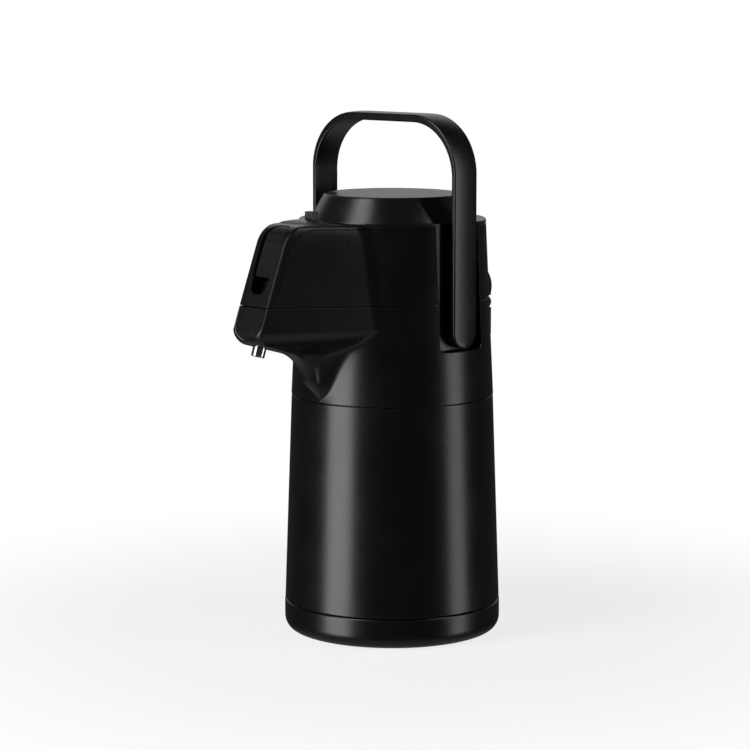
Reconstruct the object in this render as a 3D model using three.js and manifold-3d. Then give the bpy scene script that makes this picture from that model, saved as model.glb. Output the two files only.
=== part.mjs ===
// Thermal coffee airpot: a glass lined pump flask with a hinged head and a strap bail.
// Millimetres, +Z up, spout towards -Y, bail pivots on +X and -X, origin on the floor under the axis.
import * as THREE from 'three';
import { mergeVertices } from 'three/addons/utils/BufferGeometryUtils.js';
import Module from 'manifold-3d';

const wasm = await Module();
wasm.setup();

// Shared sizes
const shellWall = 2.2; // moulded shells
const seamGap = 0.6; // open line between two shells
const fitGap = 0.3; // clearance between neighbours
const overrun = 8; // how far a cutter passes the face that it cuts
const roundSides = 36;
const innerSides = 24;
const smallSides = 10;

// Base cover
const baseRadius = 84;
const baseHeight = 23.4;
const footInset = 5.3;
const footRadius = baseRadius - footInset;
const footRise = 8.5;
const footSteps = 3;
const baseLip = 1.1; // slant of the lip at the lower seam
const baseFloor = 5;
const spigotHeight = 7;
const grooveRim = 10.7;
const grooveWidth = 8;
const grooveOuter = footRadius - grooveRim;
const grooveInner = grooveOuter - grooveWidth;
const grooveDepth = 3;

// Support plug and cushion under the liner
const plugRadius = 26;
const plugHeight = 13;
const plugFloor = 9;
const plugRim = 2;
const plugCollarWall = 4;
const spannerHoleRadius = 3;
const spannerHolePlace = 15;
const spannerHoleDepth = 5;
const cushionBore = 9;

// Outer body
const seamStep = 0.3;
const bodyBottomRadius = baseRadius - seamStep;
const bodyTaper = 5.6;
const bodyTopRadius = bodyBottomRadius - bodyTaper;

// Shoulder, named by the levels of its seams on the axis
const shoulderBottom = 184.1;
const shoulderStep = 0.2;
const shoulderRadius = bodyTopRadius + shoulderStep;
const headSeam = 260.4;
const headTop = 320.5;
const headTaper = 6.4;
const headTopRadius = shoulderRadius - headTaper;
const deckLevel = 247;
const deckThickness = 2.6;
const throatRadius = 34;

// Spout nose, seen from the side; reaches are measured from the axis
const noseLength = 67;
const noseReach = shoulderRadius + noseLength; // at the head seam
const noseLean = THREE.MathUtils.degToRad(21);
const noseHalfWidth = 17;
const noseFlare = THREE.MathUtils.degToRad(20);
const noseRootInset = 4.3;
const noseRoot = shoulderRadius - noseRootInset; // from here the nose climbs as it goes forward
const nosePitchShare = 0.04;
const noseEdge = 2.5;
const noseFillet = 15;
const neckFillet = 9;
const noseTopRadius = 22;
const noseTipRadius = 8;
const undersideSlope = THREE.MathUtils.degToRad(14);
const keelHalfWidth = 9.5;
const rampSoftShare = 0.4;
const keelEdge = 7;
const keelFlare = THREE.MathUtils.degToRad(14);
const neckOut = 13.7;
const neckReach = shoulderRadius + neckOut;
const neckLevel = 196;
const neckSweep = 30;
const neckHalfWidth = 8;
const neckEdge = 7;
const neckFoot = 6.5; // height in which the neck dies into the shoulder
const troughLevel = 226;

// Side recesses for the bail
const recessDepth = 4.5;
const recessFloor = headTopRadius - recessDepth; // radius of its curved floor
const recessHalfWidth = 22.5;
const recessBottom = 224;
const recessCorner = 5;

// Bail
const pivotLevel = 238;
const handleOffset = 0.5;
const handleOut = 10.1;
const handleOuter = recessFloor + handleOut;
const handleArm = 4.5;
const handleBar = 6.4;
const handleRise = 80.9;
const handleTop = headTop + handleRise;
const handleWidth = 24.4;
const handleCorner = 45;
const handleEdge = 1.2;
const pegRadius = 5;
const bossRadius = 12;
const washerRadius = 9;
const washerThickness = 2;
const pegEnd = 0.9; // peg standing out of the washer, inside

// Glass liner
const linerSpace = 11.1;
const linerRadius = bodyTopRadius - linerSpace;
const linerBottom = 22;
const linerDomeRise = 16;
const linerShoulder = 192;
const linerNeckLevel = 226;
const gasketSpace = 3.5;
const linerMouth = deckLevel - gasketSpace;
const mouthRadius = 32;
const glassWall = 1.8;
const vacuumGap = 4.7;
const neckVacuum = 1.5;
const tipRadius = 3.2;
const tipBore = 1.4;
const tipLength = 6;
const domeSteps = 3;

// Stopper, siphon and outlet
const stopperRadius = 40;
const stopperStep = 0.4;
const stopperTop = headSeam - stopperStep;
const stopperPlugBottom = 236;
const stopperClearance = 0.8;
const siphonRadius = 4;
const siphonBore = 2.8;
const siphonBottom = 36;
const siphonInsert = 12;
const airBoreRadius = 3.5;
const airBorePlace = 17;
const outletRadius = 3.5;
const outletBore = 2.5;
const outletLevel = 253.6;
const outletInsert = 6;
const outletSteps = 12;
const outletSides = 8;
const nozzleRadius = 4.75;
const nozzleWall = 0.6;
const nozzleSides = 18;
const nozzleTopLevel = 243.5;
const nozzleBack = 9.2;
const nozzleTopReach = noseReach - nozzleBack;
const nozzleLength = 16.2;
const nozzleTilt = THREE.MathUtils.degToRad(19);
const sealRing = 1.8;
const sealHeight = 2.5;
const gasketHeight = 2.2;

// Head
const topDeck = 2.6;
const topRim = 8.5;
const buttonRadius = headTopRadius - topRim;
const buttonClearance = 0.4;
const sleeveWall = 1.8;
const sleeveDepth = 19.5;
const plateStep = 1.8;
const plateLevel = headSeam + plateStep;
const plateThickness = 2.6;
const plateClearance = 0.4;
const screwInset = 9.8;
const screwCircle = shoulderRadius - screwInset;
const screwBossRadius = 3.2;
const screwBossHeight = 13.5;
const screwRadius = 1.5;
const screwHeadRadius = 2.8;
const screwHeadHeight = 1.8;
const screwLength = 10;
const screwCount = 4;

// Button
const buttonRise = 19.1;
const buttonTop = headTop + buttonRise;
const buttonTaper = 10.4;
const buttonTopRadius = buttonRadius - buttonTaper;
const buttonEdge = 0.8;
const buttonWall = 2;
const skirtDrop = 22.5;
const skirtBottom = headTop - skirtDrop;
const flangeHeight = 2.5;
const flangeOut = 2;
const locatorRadius = 24;
const locatorWall = 1.5;
const locatorHeight = 6;

// Bellows, spring and valve
const bellowsSpace = 14.4;
const bellowsRadius = buttonRadius - bellowsSpace;
const bellowsFold = 9;
const bellowsWall = 1.4;
const bellowsFolds = 5;
const bellowsMouth = 30;
const springRadius = 19;
const springWire = 0.9;
const springTurns = 8;
const springStepsPerTurn = 8;
const springWireSides = 5;
const valveRadius = 9.5;
const valveThickness = 1.2;
const valveStem = 1.8;
const ventRadius = 2;
const ventPlace = 5.5;
const ventCount = 4;
const pressureSealInner = 26;
const pressureSealOuter = 32;

// Lock slider
const knobHalfLength = 4.5;
const knobHalfDepth = 2.8;
const knobOut = 22.6;
const knobPlace = buttonRadius + knobOut;
const knobRise = 9.7;
const knobTop = headTop + knobRise;
const knobNeck = 1.5;
const sliderTravel = 3;
const sliderFoot = 2;
const sliderFootHalf = 5.5;
const tongueHalfWidth = 2;
const ridgeCount = 4;
const ridgeDepth = 0.5;

// Release lever, measured up the slanted front face from the head seam and into it
const leverHalfWidth = 9.6;
const leverBottom = 23.5;
const leverTop = 65;
const leverCorner = 7;
const leverLowerCorner = 2;
const leverThickness = 3;
const leverSink = 0.8;
const leverGap = 0.5;
const wellHalfWidth = 8;
const wellBottom = 9.8;
const wellTop = 28;
const wellCorner = 6.5;
const wellDepth = 10;
const wellWall = 1.6;
const leverPinUp = 52;
const leverPinDepth = 8;
const leverPinRadius = 1.2;
const leverPinSeat = 1;
const hubRadius = 3.4;
const tailOffset = 11;
const tailThickness = 2.4;
const tailHalfWidth = 6;
const tailBottom = 257.2;
const catchBar = 4;
const catchTooth = 1.6;
const catchClearance = 0.9;
const catchLevel = 257.8;
const leverSpringTurns = 3;
const leverSpringWire = 0.45;
const leverSpringPitch = 1.6;

// Rear hinge
const hingeOut = 6.7;
const hingeReach = shoulderRadius + hingeOut;
const hingeLevel = 250;
const hingePinRadius = 2;
const hingeKnuckle = 4.4;
const hingeHalfWidth = 22;
const cheekWidth = 6;
const coverRise = 31;
const coverOut = 5.5;
const coverReach = hingeReach + coverOut;
const tabThickness = 1.6;
const tabDrop = 26;
const bracketFoot = 8;
const coverBellyShare = 0.42; // how high up the cover reaches furthest out
const coverWaistShare = 0.62;
const coverBrowShare = 0.85;

// A closed solid from a geometry, whichever way its faces were wound
function toSolid(geometry) {
  const bare = geometry.clone();
  bare.deleteAttribute('normal');
  bare.deleteAttribute('uv');
  const merged = mergeVertices(bare);
  const points = merged.attributes.position.array;
  const index = merged.index.array;
  const kept = [];
  let volume = 0;
  const corner = [new THREE.Vector3(), new THREE.Vector3(), new THREE.Vector3()];
  for (let i = 0; i < index.length; i += 3) {
    const [a, b, c] = [index[i], index[i + 1], index[i + 2]];
    if (a !== b && b !== c && c !== a) {
      kept.push(a, b, c);
      corner.forEach((v, k) => v.fromArray(points, index[i + k] * 3));
      volume += corner[0].dot(corner[1].clone().cross(corner[2]));
    }
  }
  if (volume < 0) kept.reverse();
  const mesh = new wasm.Mesh({
    numProp: 3,
    vertProperties: Float32Array.from(points),
    triVerts: Uint32Array.from(kept),
  });
  return new wasm.Manifold(mesh);
}

function toGeometry(solid) {
  const mesh = solid.getMesh();
  const geometry = new THREE.BufferGeometry();
  geometry.setAttribute('position', new THREE.BufferAttribute(mesh.vertProperties, mesh.numProp));
  geometry.setIndex(new THREE.BufferAttribute(mesh.triVerts, 1));
  geometry.computeVertexNormals();
  return geometry;
}

function union(...solids) {
  return solids.reduce((whole, solid) => whole.add(solid));
}

// A revolved profile of [radius, height] points
function lathe(profile, sides = roundSides) {
  const points = profile.map(([radius, height]) => new THREE.Vector2(radius, height));
  return toSolid(new THREE.LatheGeometry(points, sides).rotateX(Math.PI / 2));
}

// A revolved profile that doesn't meet the axis
function latheRing(profile, sides = roundSides) {
  return lathe([...profile, profile[0]], sides);
}

function disc(radius, bottom, top, sides = roundSides) {
  return lathe([[0, bottom], [radius, bottom], [radius, top], [0, top]], sides);
}

function ring(inner, outer, bottom, top, sides = roundSides) {
  return latheRing([[inner, bottom], [outer, bottom], [outer, top], [inner, top]], sides);
}

function extrude(outline, depth, basis) {
  const shape = new THREE.Shape(outline.map(([x, y]) => new THREE.Vector2(x, y)));
  const geometry = new THREE.ExtrudeGeometry(shape, { depth, bevelEnabled: false });
  return toSolid(geometry.applyMatrix4(basis));
}

// An outline of [y, z] points, extruded from one x to another
function prismX(outline, start, end) {
  const basis = new THREE.Matrix4().makeBasis(
    new THREE.Vector3(0, 1, 0), new THREE.Vector3(0, 0, 1), new THREE.Vector3(1, 0, 0));
  return extrude(outline, end - start, basis.setPosition(start, 0, 0));
}

function box(xStart, xEnd, yStart, yEnd, zStart, zEnd) {
  const geometry = new THREE.BoxGeometry(xEnd - xStart, yEnd - yStart, zEnd - zStart);
  return toSolid(geometry.translate((xStart + xEnd) / 2, (yStart + yEnd) / 2, (zStart + zEnd) / 2));
}

function rod(from, to, radius, sides = smallSides) {
  const along = to.clone().sub(from);
  const geometry = new THREE.CylinderGeometry(radius, radius, along.length(), sides);
  const turn = new THREE.Quaternion()
    .setFromUnitVectors(new THREE.Vector3(0, 1, 0), along.clone().normalize());
  const middle = from.clone().add(to).multiplyScalar(1 / 2);
  return toSolid(geometry.applyQuaternion(turn).translate(middle.x, middle.y, middle.z));
}

function rodX(start, end, y, z, radius, sides = smallSides) {
  return rod(new THREE.Vector3(start, y, z), new THREE.Vector3(end, y, z), radius, sides);
}

function moved(solid, matrix) {
  return toSolid(toGeometry(solid).applyMatrix4(matrix));
}

function mirrorX(solid) {
  return moved(solid, new THREE.Matrix4().makeScale(-1, 1, 1));
}

function bothSides(solid) {
  return solid.add(mirrorX(solid));
}

// Points on an arc, both ends included
function arc(centreX, centreY, radius, start, end, steps) {
  const points = [];
  for (let i = 0; i <= steps; i++) {
    const angle = start + (end - start) * i / steps;
    points.push([centreX + radius * Math.cos(angle), centreY + radius * Math.sin(angle)]);
  }
  return points;
}

// Stacked outlines of equal point count, capped at both ends
function loft(rings) {
  const count = rings[0].length;
  const positions = rings.flat().flatMap((point) => [point.x, point.y, point.z]);
  const index = [];
  for (let level = 0; level + 1 < rings.length; level++) {
    for (let i = 0; i < count; i++) {
      const a = level * count + i;
      const b = level * count + (i + 1) % count;
      index.push(a, b, b + count, a, b + count, a + count);
    }
  }
  const last = (rings.length - 1) * count;
  const faces = THREE.ShapeUtils.triangulateShape(rings[0].map((p) => new THREE.Vector2(p.x, p.y)), []);
  for (const [a, b, c] of faces) index.push(a, c, b);
  const lids = THREE.ShapeUtils.triangulateShape(rings.at(-1).map((p) => new THREE.Vector2(p.x, p.y)), []);
  for (const [a, b, c] of lids) index.push(last + a, last + b, last + c);
  const geometry = new THREE.BufferGeometry();
  geometry.setAttribute('position', new THREE.Float32BufferAttribute(positions, 3));
  geometry.setIndex(index);
  return toSolid(geometry);
}

// The tapers of the body and of the shoulder with the head
function bodyRadius(level) {
  const share = (level - baseHeight) / (shoulderBottom - baseHeight);
  return THREE.MathUtils.lerp(bodyBottomRadius, bodyTopRadius, share);
}

function coneRadius(level) {
  const share = (level - shoulderBottom) / (headTop - shoulderBottom);
  return THREE.MathUtils.lerp(shoulderRadius, headTopRadius, share);
}

// How much higher a level lies out on the nose, with none of it down at the neck
function climb(reach, level) {
  const share = THREE.MathUtils.clamp((level - neckLevel) / (headSeam - neckLevel), 0, 1);
  return nosePitchShare * share * Math.max(0, reach - noseRoot);
}

function frontLine(level) {
  return noseReach - (level - headSeam) * Math.tan(noseLean);
}

// The side profile of the nose: where its arcs meet its straight lines
const sweepAngle = Math.PI / 2 - undersideSlope;
const sweepEnd = {
  reach: neckReach + neckSweep * (1 - Math.cos(sweepAngle)),
  level: neckLevel + neckSweep * Math.sin(sweepAngle),
};
const tip = cornerBetween();
const topCorner = {
  reach: frontLine(headTop) - noseTopRadius * Math.tan((Math.PI / 2 - noseLean) / 2),
  level: headTop - noseTopRadius,
};
const topCornerStart = topCorner.level + noseTopRadius * Math.sin(noseLean);

// The tip arc touches the underside and the front line
function cornerBetween() {
  const rise = Math.tan(undersideSlope);
  const lean = Math.tan(noseLean);
  const reach = (noseReach + lean * (headSeam - sweepEnd.level + rise * sweepEnd.reach)) / (1 + lean * rise);
  const level = sweepEnd.level + (reach - sweepEnd.reach) * rise;
  const turn = Math.PI / 2 + noseLean - undersideSlope;
  const back = noseTipRadius * Math.tan(turn / 2);
  const startReach = reach - back * Math.cos(undersideSlope);
  const startLevel = level - back * Math.sin(undersideSlope);
  return {
    start: startLevel,
    end: level + back * Math.cos(noseLean),
    reach: startReach - noseTipRadius * Math.sin(undersideSlope),
    level: startLevel + noseTipRadius * Math.cos(undersideSlope),
  };
}

// How far the nose reaches in front of the axis at a level
function noseFront(level) {
  if (level > topCornerStart) {
    const up = Math.min(level - topCorner.level, noseTopRadius);
    return topCorner.reach + Math.sqrt(noseTopRadius ** 2 - up ** 2);
  }
  if (level > tip.end) return frontLine(level);
  if (level > tip.start) return tip.reach + Math.sqrt(noseTipRadius ** 2 - (level - tip.level) ** 2);
  if (level > sweepEnd.level) return sweepEnd.reach + (level - sweepEnd.level) / Math.tan(undersideSlope);
  if (level > neckLevel) return neckReach + neckSweep - Math.sqrt(neckSweep ** 2 - (level - neckLevel) ** 2);
  const below = Math.min((neckLevel - level) / neckFoot, 1);
  return coneRadius(level) + (neckReach - coneRadius(neckLevel)) * Math.sqrt(1 - below ** 2);
}

// A straight ramp with slightly rounded ends
function softRamp(level, low, high) {
  const straight = THREE.MathUtils.clamp((level - low) / (high - low), 0, 1);
  return THREE.MathUtils.lerp(straight, THREE.MathUtils.smoothstep(level, low, high), rampSoftShare);
}

// The nose is narrow at the neck and along its keel, and has its full width above the tip
function noseSection(level) {
  const toKeel = softRamp(level, neckLevel - neckFoot, sweepEnd.level);
  const toFace = softRamp(level, sweepEnd.level, tip.end);
  const mix = THREE.MathUtils.lerp;
  const pick = (neck, keel, face) => mix(mix(neck, keel, toKeel), face, toFace);
  return {
    radius: coneRadius(level),
    front: noseFront(level),
    halfWidth: pick(neckHalfWidth, keelHalfWidth, noseHalfWidth),
    corner: pick(neckEdge, keelEdge, noseEdge),
    flare: pick(0, keelFlare, noseFlare),
    fillet: pick(neckFillet, neckFillet, noseFillet),
  };
}

// A round plan with the nose in front: convex corner, straight wall, concave fillet, circle
const cornerSteps = 3;
const filletSteps = 3;
const circleSteps = 12;
const sideSteps = 2;
const sideTurn = THREE.MathUtils.degToRad(-48); // the circle has the same points on every level behind this

function planOutline({ radius, front, halfWidth, corner, flare, fillet, fine }) {
  const cornerX = halfWidth - corner;
  const cornerY = corner - front;
  const wall = new THREE.Vector2(Math.sin(flare), Math.cos(flare));
  const away = new THREE.Vector2(Math.cos(flare), -Math.sin(flare));
  const start = new THREE.Vector2(cornerX, cornerY).addScaledVector(away, corner + fillet);
  const along = -start.dot(wall);
  const reach = Math.sqrt(Math.max(0, along ** 2 - start.lengthSq() + (radius + fillet) ** 2));
  let centre = start.clone().addScaledVector(wall, along - reach);
  let touch = -flare;
  if (along - reach < 0) {
    const gap = Math.hypot(cornerX, cornerY);
    const near = corner + fillet;
    const far = radius + fillet;
    const share = (near ** 2 - far ** 2 + gap ** 2) / (2 * gap);
    const side = Math.sqrt(Math.max(0, near ** 2 - share ** 2));
    const inward = new THREE.Vector2(-cornerX, -cornerY).multiplyScalar(1 / gap);
    const across = new THREE.Vector2(-inward.y, inward.x);
    if (across.x < 0) across.negate();
    centre = new THREE.Vector2(cornerX, cornerY);
    centre.addScaledVector(inward, share).addScaledVector(across, side);
    touch = Math.atan2(centre.y - cornerY, centre.x - cornerX);
  }
  const meet = Math.atan2(centre.y, centre.x);
  const right = [
    ...arc(cornerX, cornerY, corner, -Math.PI / 2, touch, cornerSteps),
    ...arc(centre.x, centre.y, fillet, touch + Math.PI, meet + Math.PI, filletSteps),
    ...arc(0, 0, radius, meet, sideTurn, sideSteps).slice(1),
    ...arc(0, 0, radius, sideTurn, Math.PI / 2, circleSteps / fine).slice(1),
  ];
  const left = right.slice(0, -1).reverse().map(([x, y]) => [-x, y]);
  return [...right, ...left];
}

// The side profile moved inwards, square to itself
function insetFront(level, inset) {
  const turns = levels(-Math.PI / 2, Math.PI / 2, 8);
  const reaches = turns.map((turn) => noseFront(level + inset * Math.sin(turn)) - inset * Math.cos(turn));
  return Math.min(...reaches);
}

function noseRing(level, inset = 0) {
  const section = noseSection(level);
  const inner = {
    radius: section.radius - inset,
    front: Math.max(insetFront(level, inset), section.radius - inset),
    halfWidth: section.halfWidth - inset,
    corner: Math.max(section.corner - inset, noseEdge / 2),
    flare: section.flare,
    fillet: section.fillet + inset,
    fine: inset > 0 ? 2 : 1,
  };
  return planOutline(inner).map(([x, y]) => new THREE.Vector3(x, y, level + climb(-y, level)));
}

// Levels from one height to another, evenly spaced
function levels(start, end, steps) {
  return Array.from({ length: steps + 1 }, (_, i) => THREE.MathUtils.lerp(start, end, i / steps));
}

const shoulderStart = shoulderBottom + seamGap;
const shoulderEnd = headSeam - seamGap / 2;
const headStart = headSeam + seamGap / 2;

function shoulderForm(inset = 0, lowest = shoulderStart, highest = shoulderEnd) {
  const fine = inset > 0 ? 2 : 1;
  const list = [
    ...levels(neckLevel - neckFoot, neckLevel, 3),
    ...levels(neckLevel, sweepEnd.level, 6 / fine).slice(1),
    ...levels(sweepEnd.level, tip.start, 2 / fine).slice(1),
    ...levels(tip.start, tip.end, 4 / fine).slice(1),
  ].filter((level) => level > lowest && level < highest);
  return loft([lowest, ...list, highest].map((level) => noseRing(level, inset)));
}

function headForm(inset = 0, lowest = headStart, highest = headTop) {
  const steps = inset > 0 ? 2 : 4;
  const list = levels(topCornerStart, headTop, steps).filter((level) => level > lowest && level < highest);
  return loft([lowest, ...list, highest].map((level) => noseRing(level, inset)));
}

// The recess for one arm of the bail, seen from the side
function recessOutline(grow, top) {
  const half = recessHalfWidth + grow;
  const radius = recessCorner + grow;
  const level = recessBottom + recessCorner;
  return [
    [-half, top],
    ...arc(radius - half, level, radius, Math.PI, Math.PI * 3 / 2, cornerSteps),
    ...arc(half - radius, level, radius, Math.PI * 3 / 2, Math.PI * 2, cornerSteps),
    [half, top],
  ].reverse();
}

function recessCut(grow = 0) {
  const low = recessBottom - overrun;
  const high = headTop + overrun;
  return bothSides(prismX(recessOutline(grow, high), fitGap, baseRadius + overrun))
    .subtract(disc(recessFloor - grow, low - overrun, high + overrun));
}

// Base cover: foot, floor and the spigot that the outer body stands over
function baseCover() {
  const spigotOuter = bodyRadius(baseHeight) - shellWall - fitGap;
  const foot = levels(0, Math.PI / 2, footSteps).map((angle) => [
    footRadius + (baseRadius - footRadius) * Math.sin(angle),
    footRise * (1 - Math.cos(angle)),
  ]);
  return latheRing([
    [plugRadius + fitGap, 0],
    [grooveInner, 0],
    [grooveInner, grooveDepth],
    [grooveOuter, grooveDepth],
    [grooveOuter, 0],
    ...foot,
    [baseRadius, baseHeight - baseLip],
    [baseRadius - baseLip, baseHeight],
    [spigotOuter, baseHeight],
    [spigotOuter, baseHeight + spigotHeight],
    [spigotOuter - shellWall, baseHeight + spigotHeight],
    [spigotOuter - shellWall, baseFloor],
    [plugRadius + fitGap + plugCollarWall, baseFloor],
    [plugRadius + fitGap + plugCollarWall, plugHeight],
    [plugRadius + fitGap, plugHeight],
  ]);
}

// The plug screws up into the base and carries the liner's cushion
function supportPlug() {
  const cup = lathe([
    [0, 0],
    [plugRadius, 0],
    [plugRadius, plugHeight],
    [plugRadius - plugRim, plugHeight],
    [plugRadius - plugRim, plugFloor],
    [0, plugFloor],
  ]);
  const hole = rod(
    new THREE.Vector3(spannerHolePlace, 0, -overrun),
    new THREE.Vector3(spannerHolePlace, 0, spannerHoleDepth), spannerHoleRadius);
  return cup.subtract(bothSides(hole));
}

function linerCushion() {
  const outer = plugRadius - plugRim - fitGap;
  return ring(cushionBore, outer, plugFloor + fitGap, linerBottom - fitGap, innerSides);
}

// Quarter dome from the axis out to a radius, curving up
function domePoints(centreLevel, radius, rise, steps = domeSteps) {
  return levels(0, Math.PI / 2, steps).map((angle) => [
    radius * Math.sin(angle),
    centreLevel + rise * (1 - Math.cos(angle)),
  ]);
}

// The liner's shoulder from its side in to its neck
function neckCurve(radius, neck, bottom, top) {
  return levels(0, Math.PI / 2, domeSteps).map((angle) => [
    neck + (radius - neck) * Math.cos(angle),
    bottom + (top - bottom) * Math.sin(angle),
  ]);
}

// Double wall with the vacuum between, open only at the evacuation tip
function vacuumLiner() {
  const outerNeck = mouthRadius + glassWall * 2 + neckVacuum;
  const innerRadius = linerRadius - glassWall * 2 - vacuumGap;
  const outerInside = linerRadius - glassWall;
  const innerOutside = innerRadius + glassWall;
  const innerBottom = linerBottom + glassWall * 2 + vacuumGap;
  const tipEnd = linerBottom - tipLength;
  return lathe([
    ...domePoints(innerBottom, innerRadius, linerDomeRise),
    ...neckCurve(innerRadius, mouthRadius, linerShoulder, linerNeckLevel - vacuumGap),
    [mouthRadius, linerMouth],
    [outerNeck, linerMouth],
    ...neckCurve(linerRadius, outerNeck, linerShoulder, linerNeckLevel).reverse(),
    ...domePoints(linerBottom, linerRadius, linerDomeRise).slice(1).reverse(),
    [tipRadius, linerBottom],
    [tipRadius, tipEnd],
    [tipBore, tipEnd],
    [tipBore, linerBottom + glassWall],
    ...domePoints(linerBottom + glassWall, outerInside, linerDomeRise).slice(1),
    ...neckCurve(outerInside, outerNeck - glassWall, linerShoulder, linerNeckLevel - glassWall),
    [outerNeck - glassWall, linerMouth - glassWall],
    [mouthRadius + glassWall, linerMouth - glassWall],
    ...neckCurve(
      innerOutside, mouthRadius + glassWall, linerShoulder, linerNeckLevel - vacuumGap + glassWall,
    ).reverse(),
    ...domePoints(innerBottom - glassWall, innerOutside, linerDomeRise).reverse(),
  ], innerSides);
}

function linerGasket() {
  const outer = mouthRadius + glassWall * 2 + neckVacuum;
  return ring(mouthRadius, outer, linerMouth + fitGap, deckLevel - fitGap, innerSides);
}

function outerBody() {
  const bottom = baseHeight + seamGap;
  return latheRing([
    [bodyRadius(bottom) - shellWall, bottom],
    [bodyRadius(bottom), bottom],
    [bodyRadius(shoulderBottom), shoulderBottom],
    [bodyRadius(shoulderBottom) - shellWall, shoulderBottom],
  ]);
}

// A plain cone of the shoulder and head taper
function cone(inset, bottom, top) {
  return lathe([
    [0, bottom],
    [coneRadius(bottom) - inset, bottom],
    [coneRadius(top) - inset, top],
    [0, top],
  ]);
}

const nozzleAxis = new THREE.Vector3(0, -Math.sin(nozzleTilt), -Math.cos(nozzleTilt));
const nozzleTop = new THREE.Vector3(0, -nozzleTopReach, nozzleTopLevel);
const nozzleEnd = nozzleTop.clone().addScaledVector(nozzleAxis, nozzleLength);

// The slanted front face after the climb of the levels: its foot at the seam and its true lean
const faceFoot = new THREE.Vector3(0, -noseReach, headSeam + climb(noseReach, headSeam));
const faceHeadReach = noseFront(topCornerStart);
const faceHeadLevel = topCornerStart + climb(faceHeadReach, topCornerStart);
const faceLean = Math.atan2(noseReach - faceHeadReach, faceHeadLevel - faceFoot.z);
const faceUp = new THREE.Vector3(0, Math.sin(faceLean), Math.cos(faceLean));
const faceOut = new THREE.Vector3(0, -Math.cos(faceLean), Math.sin(faceLean));

function onFace(up, inward) {
  return faceFoot.clone().addScaledVector(faceUp, up).addScaledVector(faceOut, -inward);
}

// An outline drawn on the slanted face, from a depth behind it to a height in front
function prismFace(outline, depth, height) {
  const basis = new THREE.Matrix4().makeBasis(new THREE.Vector3(1, 0, 0), faceUp, faceOut);
  const foot = onFace(0, depth);
  return extrude(outline, depth + height, basis.setPosition(foot.x, foot.y, foot.z));
}

const leverPin = onFace(leverPinUp, leverPinDepth);
const tailPlace = leverPin.y + tailOffset;
const catchPlace = tailPlace + tailThickness / 2 + catchTooth + catchClearance;

// Shoulder: outer form, room for the liner, deck, spout trough, recesses and pivot bosses
function shoulder() {
  const spigotOuter = bodyRadius(shoulderBottom) - shellWall - fitGap;
  const spigotBottom = shoulderBottom - spigotHeight;
  const web = shoulderStart + shellWall;
  const spigot = ring(spigotOuter - shellWall, spigotOuter, spigotBottom, web);
  const room = lathe([
    [0, spigotBottom - overrun],
    [spigotOuter - shellWall, spigotBottom - overrun],
    [spigotOuter - shellWall, web],
    [coneRadius(web) - shellWall, web],
    [coneRadius(deckLevel) - shellWall, deckLevel],
    [0, deckLevel],
  ]);
  const deckTop = deckLevel + deckThickness;
  const aboveDeck = cone(shellWall, deckTop, headSeam + overrun * 2);
  const trough = shoulderForm(shellWall, troughLevel, headSeam + overrun)
    .subtract(cone(0, troughLevel - overrun, deckTop));
  const walls = recessCut(shellWall);
  const bar = box(
    -baseRadius, baseRadius, catchPlace, catchPlace + catchBar, catchLevel, catchLevel + catchBar);
  const bossEnd = handleOuter - handleArm - fitGap;
  const boss = rodX(recessFloor - shellWall - fitGap, bossEnd, handleOffset, pivotLevel,
    bossRadius, roundSides / 2);
  const bore = rodX(recessFloor - overrun, baseRadius, handleOffset, pivotLevel, pegRadius + fitGap);
  const nozzleHole = rod(nozzleTop, nozzleEnd, nozzleRadius + fitGap);
  const form = shoulderForm();
  return form
    .add(spigot)
    .subtract(union(room, aboveDeck, trough).subtract(walls))
    .add(bar.intersect(form))
    .subtract(recessCut())
    .add(bothSides(boss))
    .subtract(bothSides(bore))
    .subtract(disc(throatRadius, deckLevel - overrun, deckTop + overrun))
    .subtract(nozzleHole);
}

// Bail: a strap arch with round ends and a peg inside each end
function handle() {
  const bottom = pivotLevel - handleWidth / 2;
  const inner = handleOuter - handleArm;
  const innerTop = handleTop - handleBar;
  const innerCorner = handleCorner - handleArm;
  const shape = new THREE.Shape();
  shape.moveTo(-handleOuter, bottom);
  shape.lineTo(-handleOuter, handleTop - handleCorner);
  shape.absarc(
    handleCorner - handleOuter, handleTop - handleCorner, handleCorner, Math.PI, Math.PI / 2, true);
  shape.absarc(handleOuter - handleCorner, handleTop - handleCorner, handleCorner, Math.PI / 2, 0, true);
  shape.lineTo(handleOuter, bottom);
  shape.lineTo(inner, bottom);
  shape.absarc(inner - innerCorner, innerTop - innerCorner, innerCorner, 0, Math.PI / 2, false);
  shape.absarc(innerCorner - inner, innerTop - innerCorner, innerCorner, Math.PI / 2, Math.PI, false);
  shape.lineTo(-inner, bottom);
  const strap = new THREE.ExtrudeGeometry(shape, {
    depth: handleWidth - handleEdge * 2,
    bevelEnabled: true,
    bevelSize: handleEdge,
    bevelThickness: handleEdge,
    bevelOffset: -handleEdge,
    bevelSegments: 1,
    curveSegments: 8,
  });
  strap.rotateX(Math.PI / 2).translate(0, handleOffset + handleWidth / 2 - handleEdge, 0);
  const half = handleWidth / 2;
  const roundEnds = prismX([
    [handleOffset - half, handleTop + overrun],
    ...arc(handleOffset, pivotLevel, half, Math.PI, Math.PI * 2, roundSides / 4),
    [handleOffset + half, handleTop + overrun],
  ].reverse(), -baseRadius, baseRadius);
  const pegStart = washerSeat - washerThickness - pegEnd;
  const peg = rodX(pegStart, inner + handleArm / 2, handleOffset, pivotLevel, pegRadius);
  return toSolid(strap).intersect(roundEnds).add(bothSides(peg));
}

// Snap washer on the inner end of a peg, just inside the curved floor of the recess
const washerReach = washerRadius + handleOffset;
const washerSeat = Math.sqrt((recessFloor - shellWall) ** 2 - washerReach ** 2) - fitGap * 2;

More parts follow.
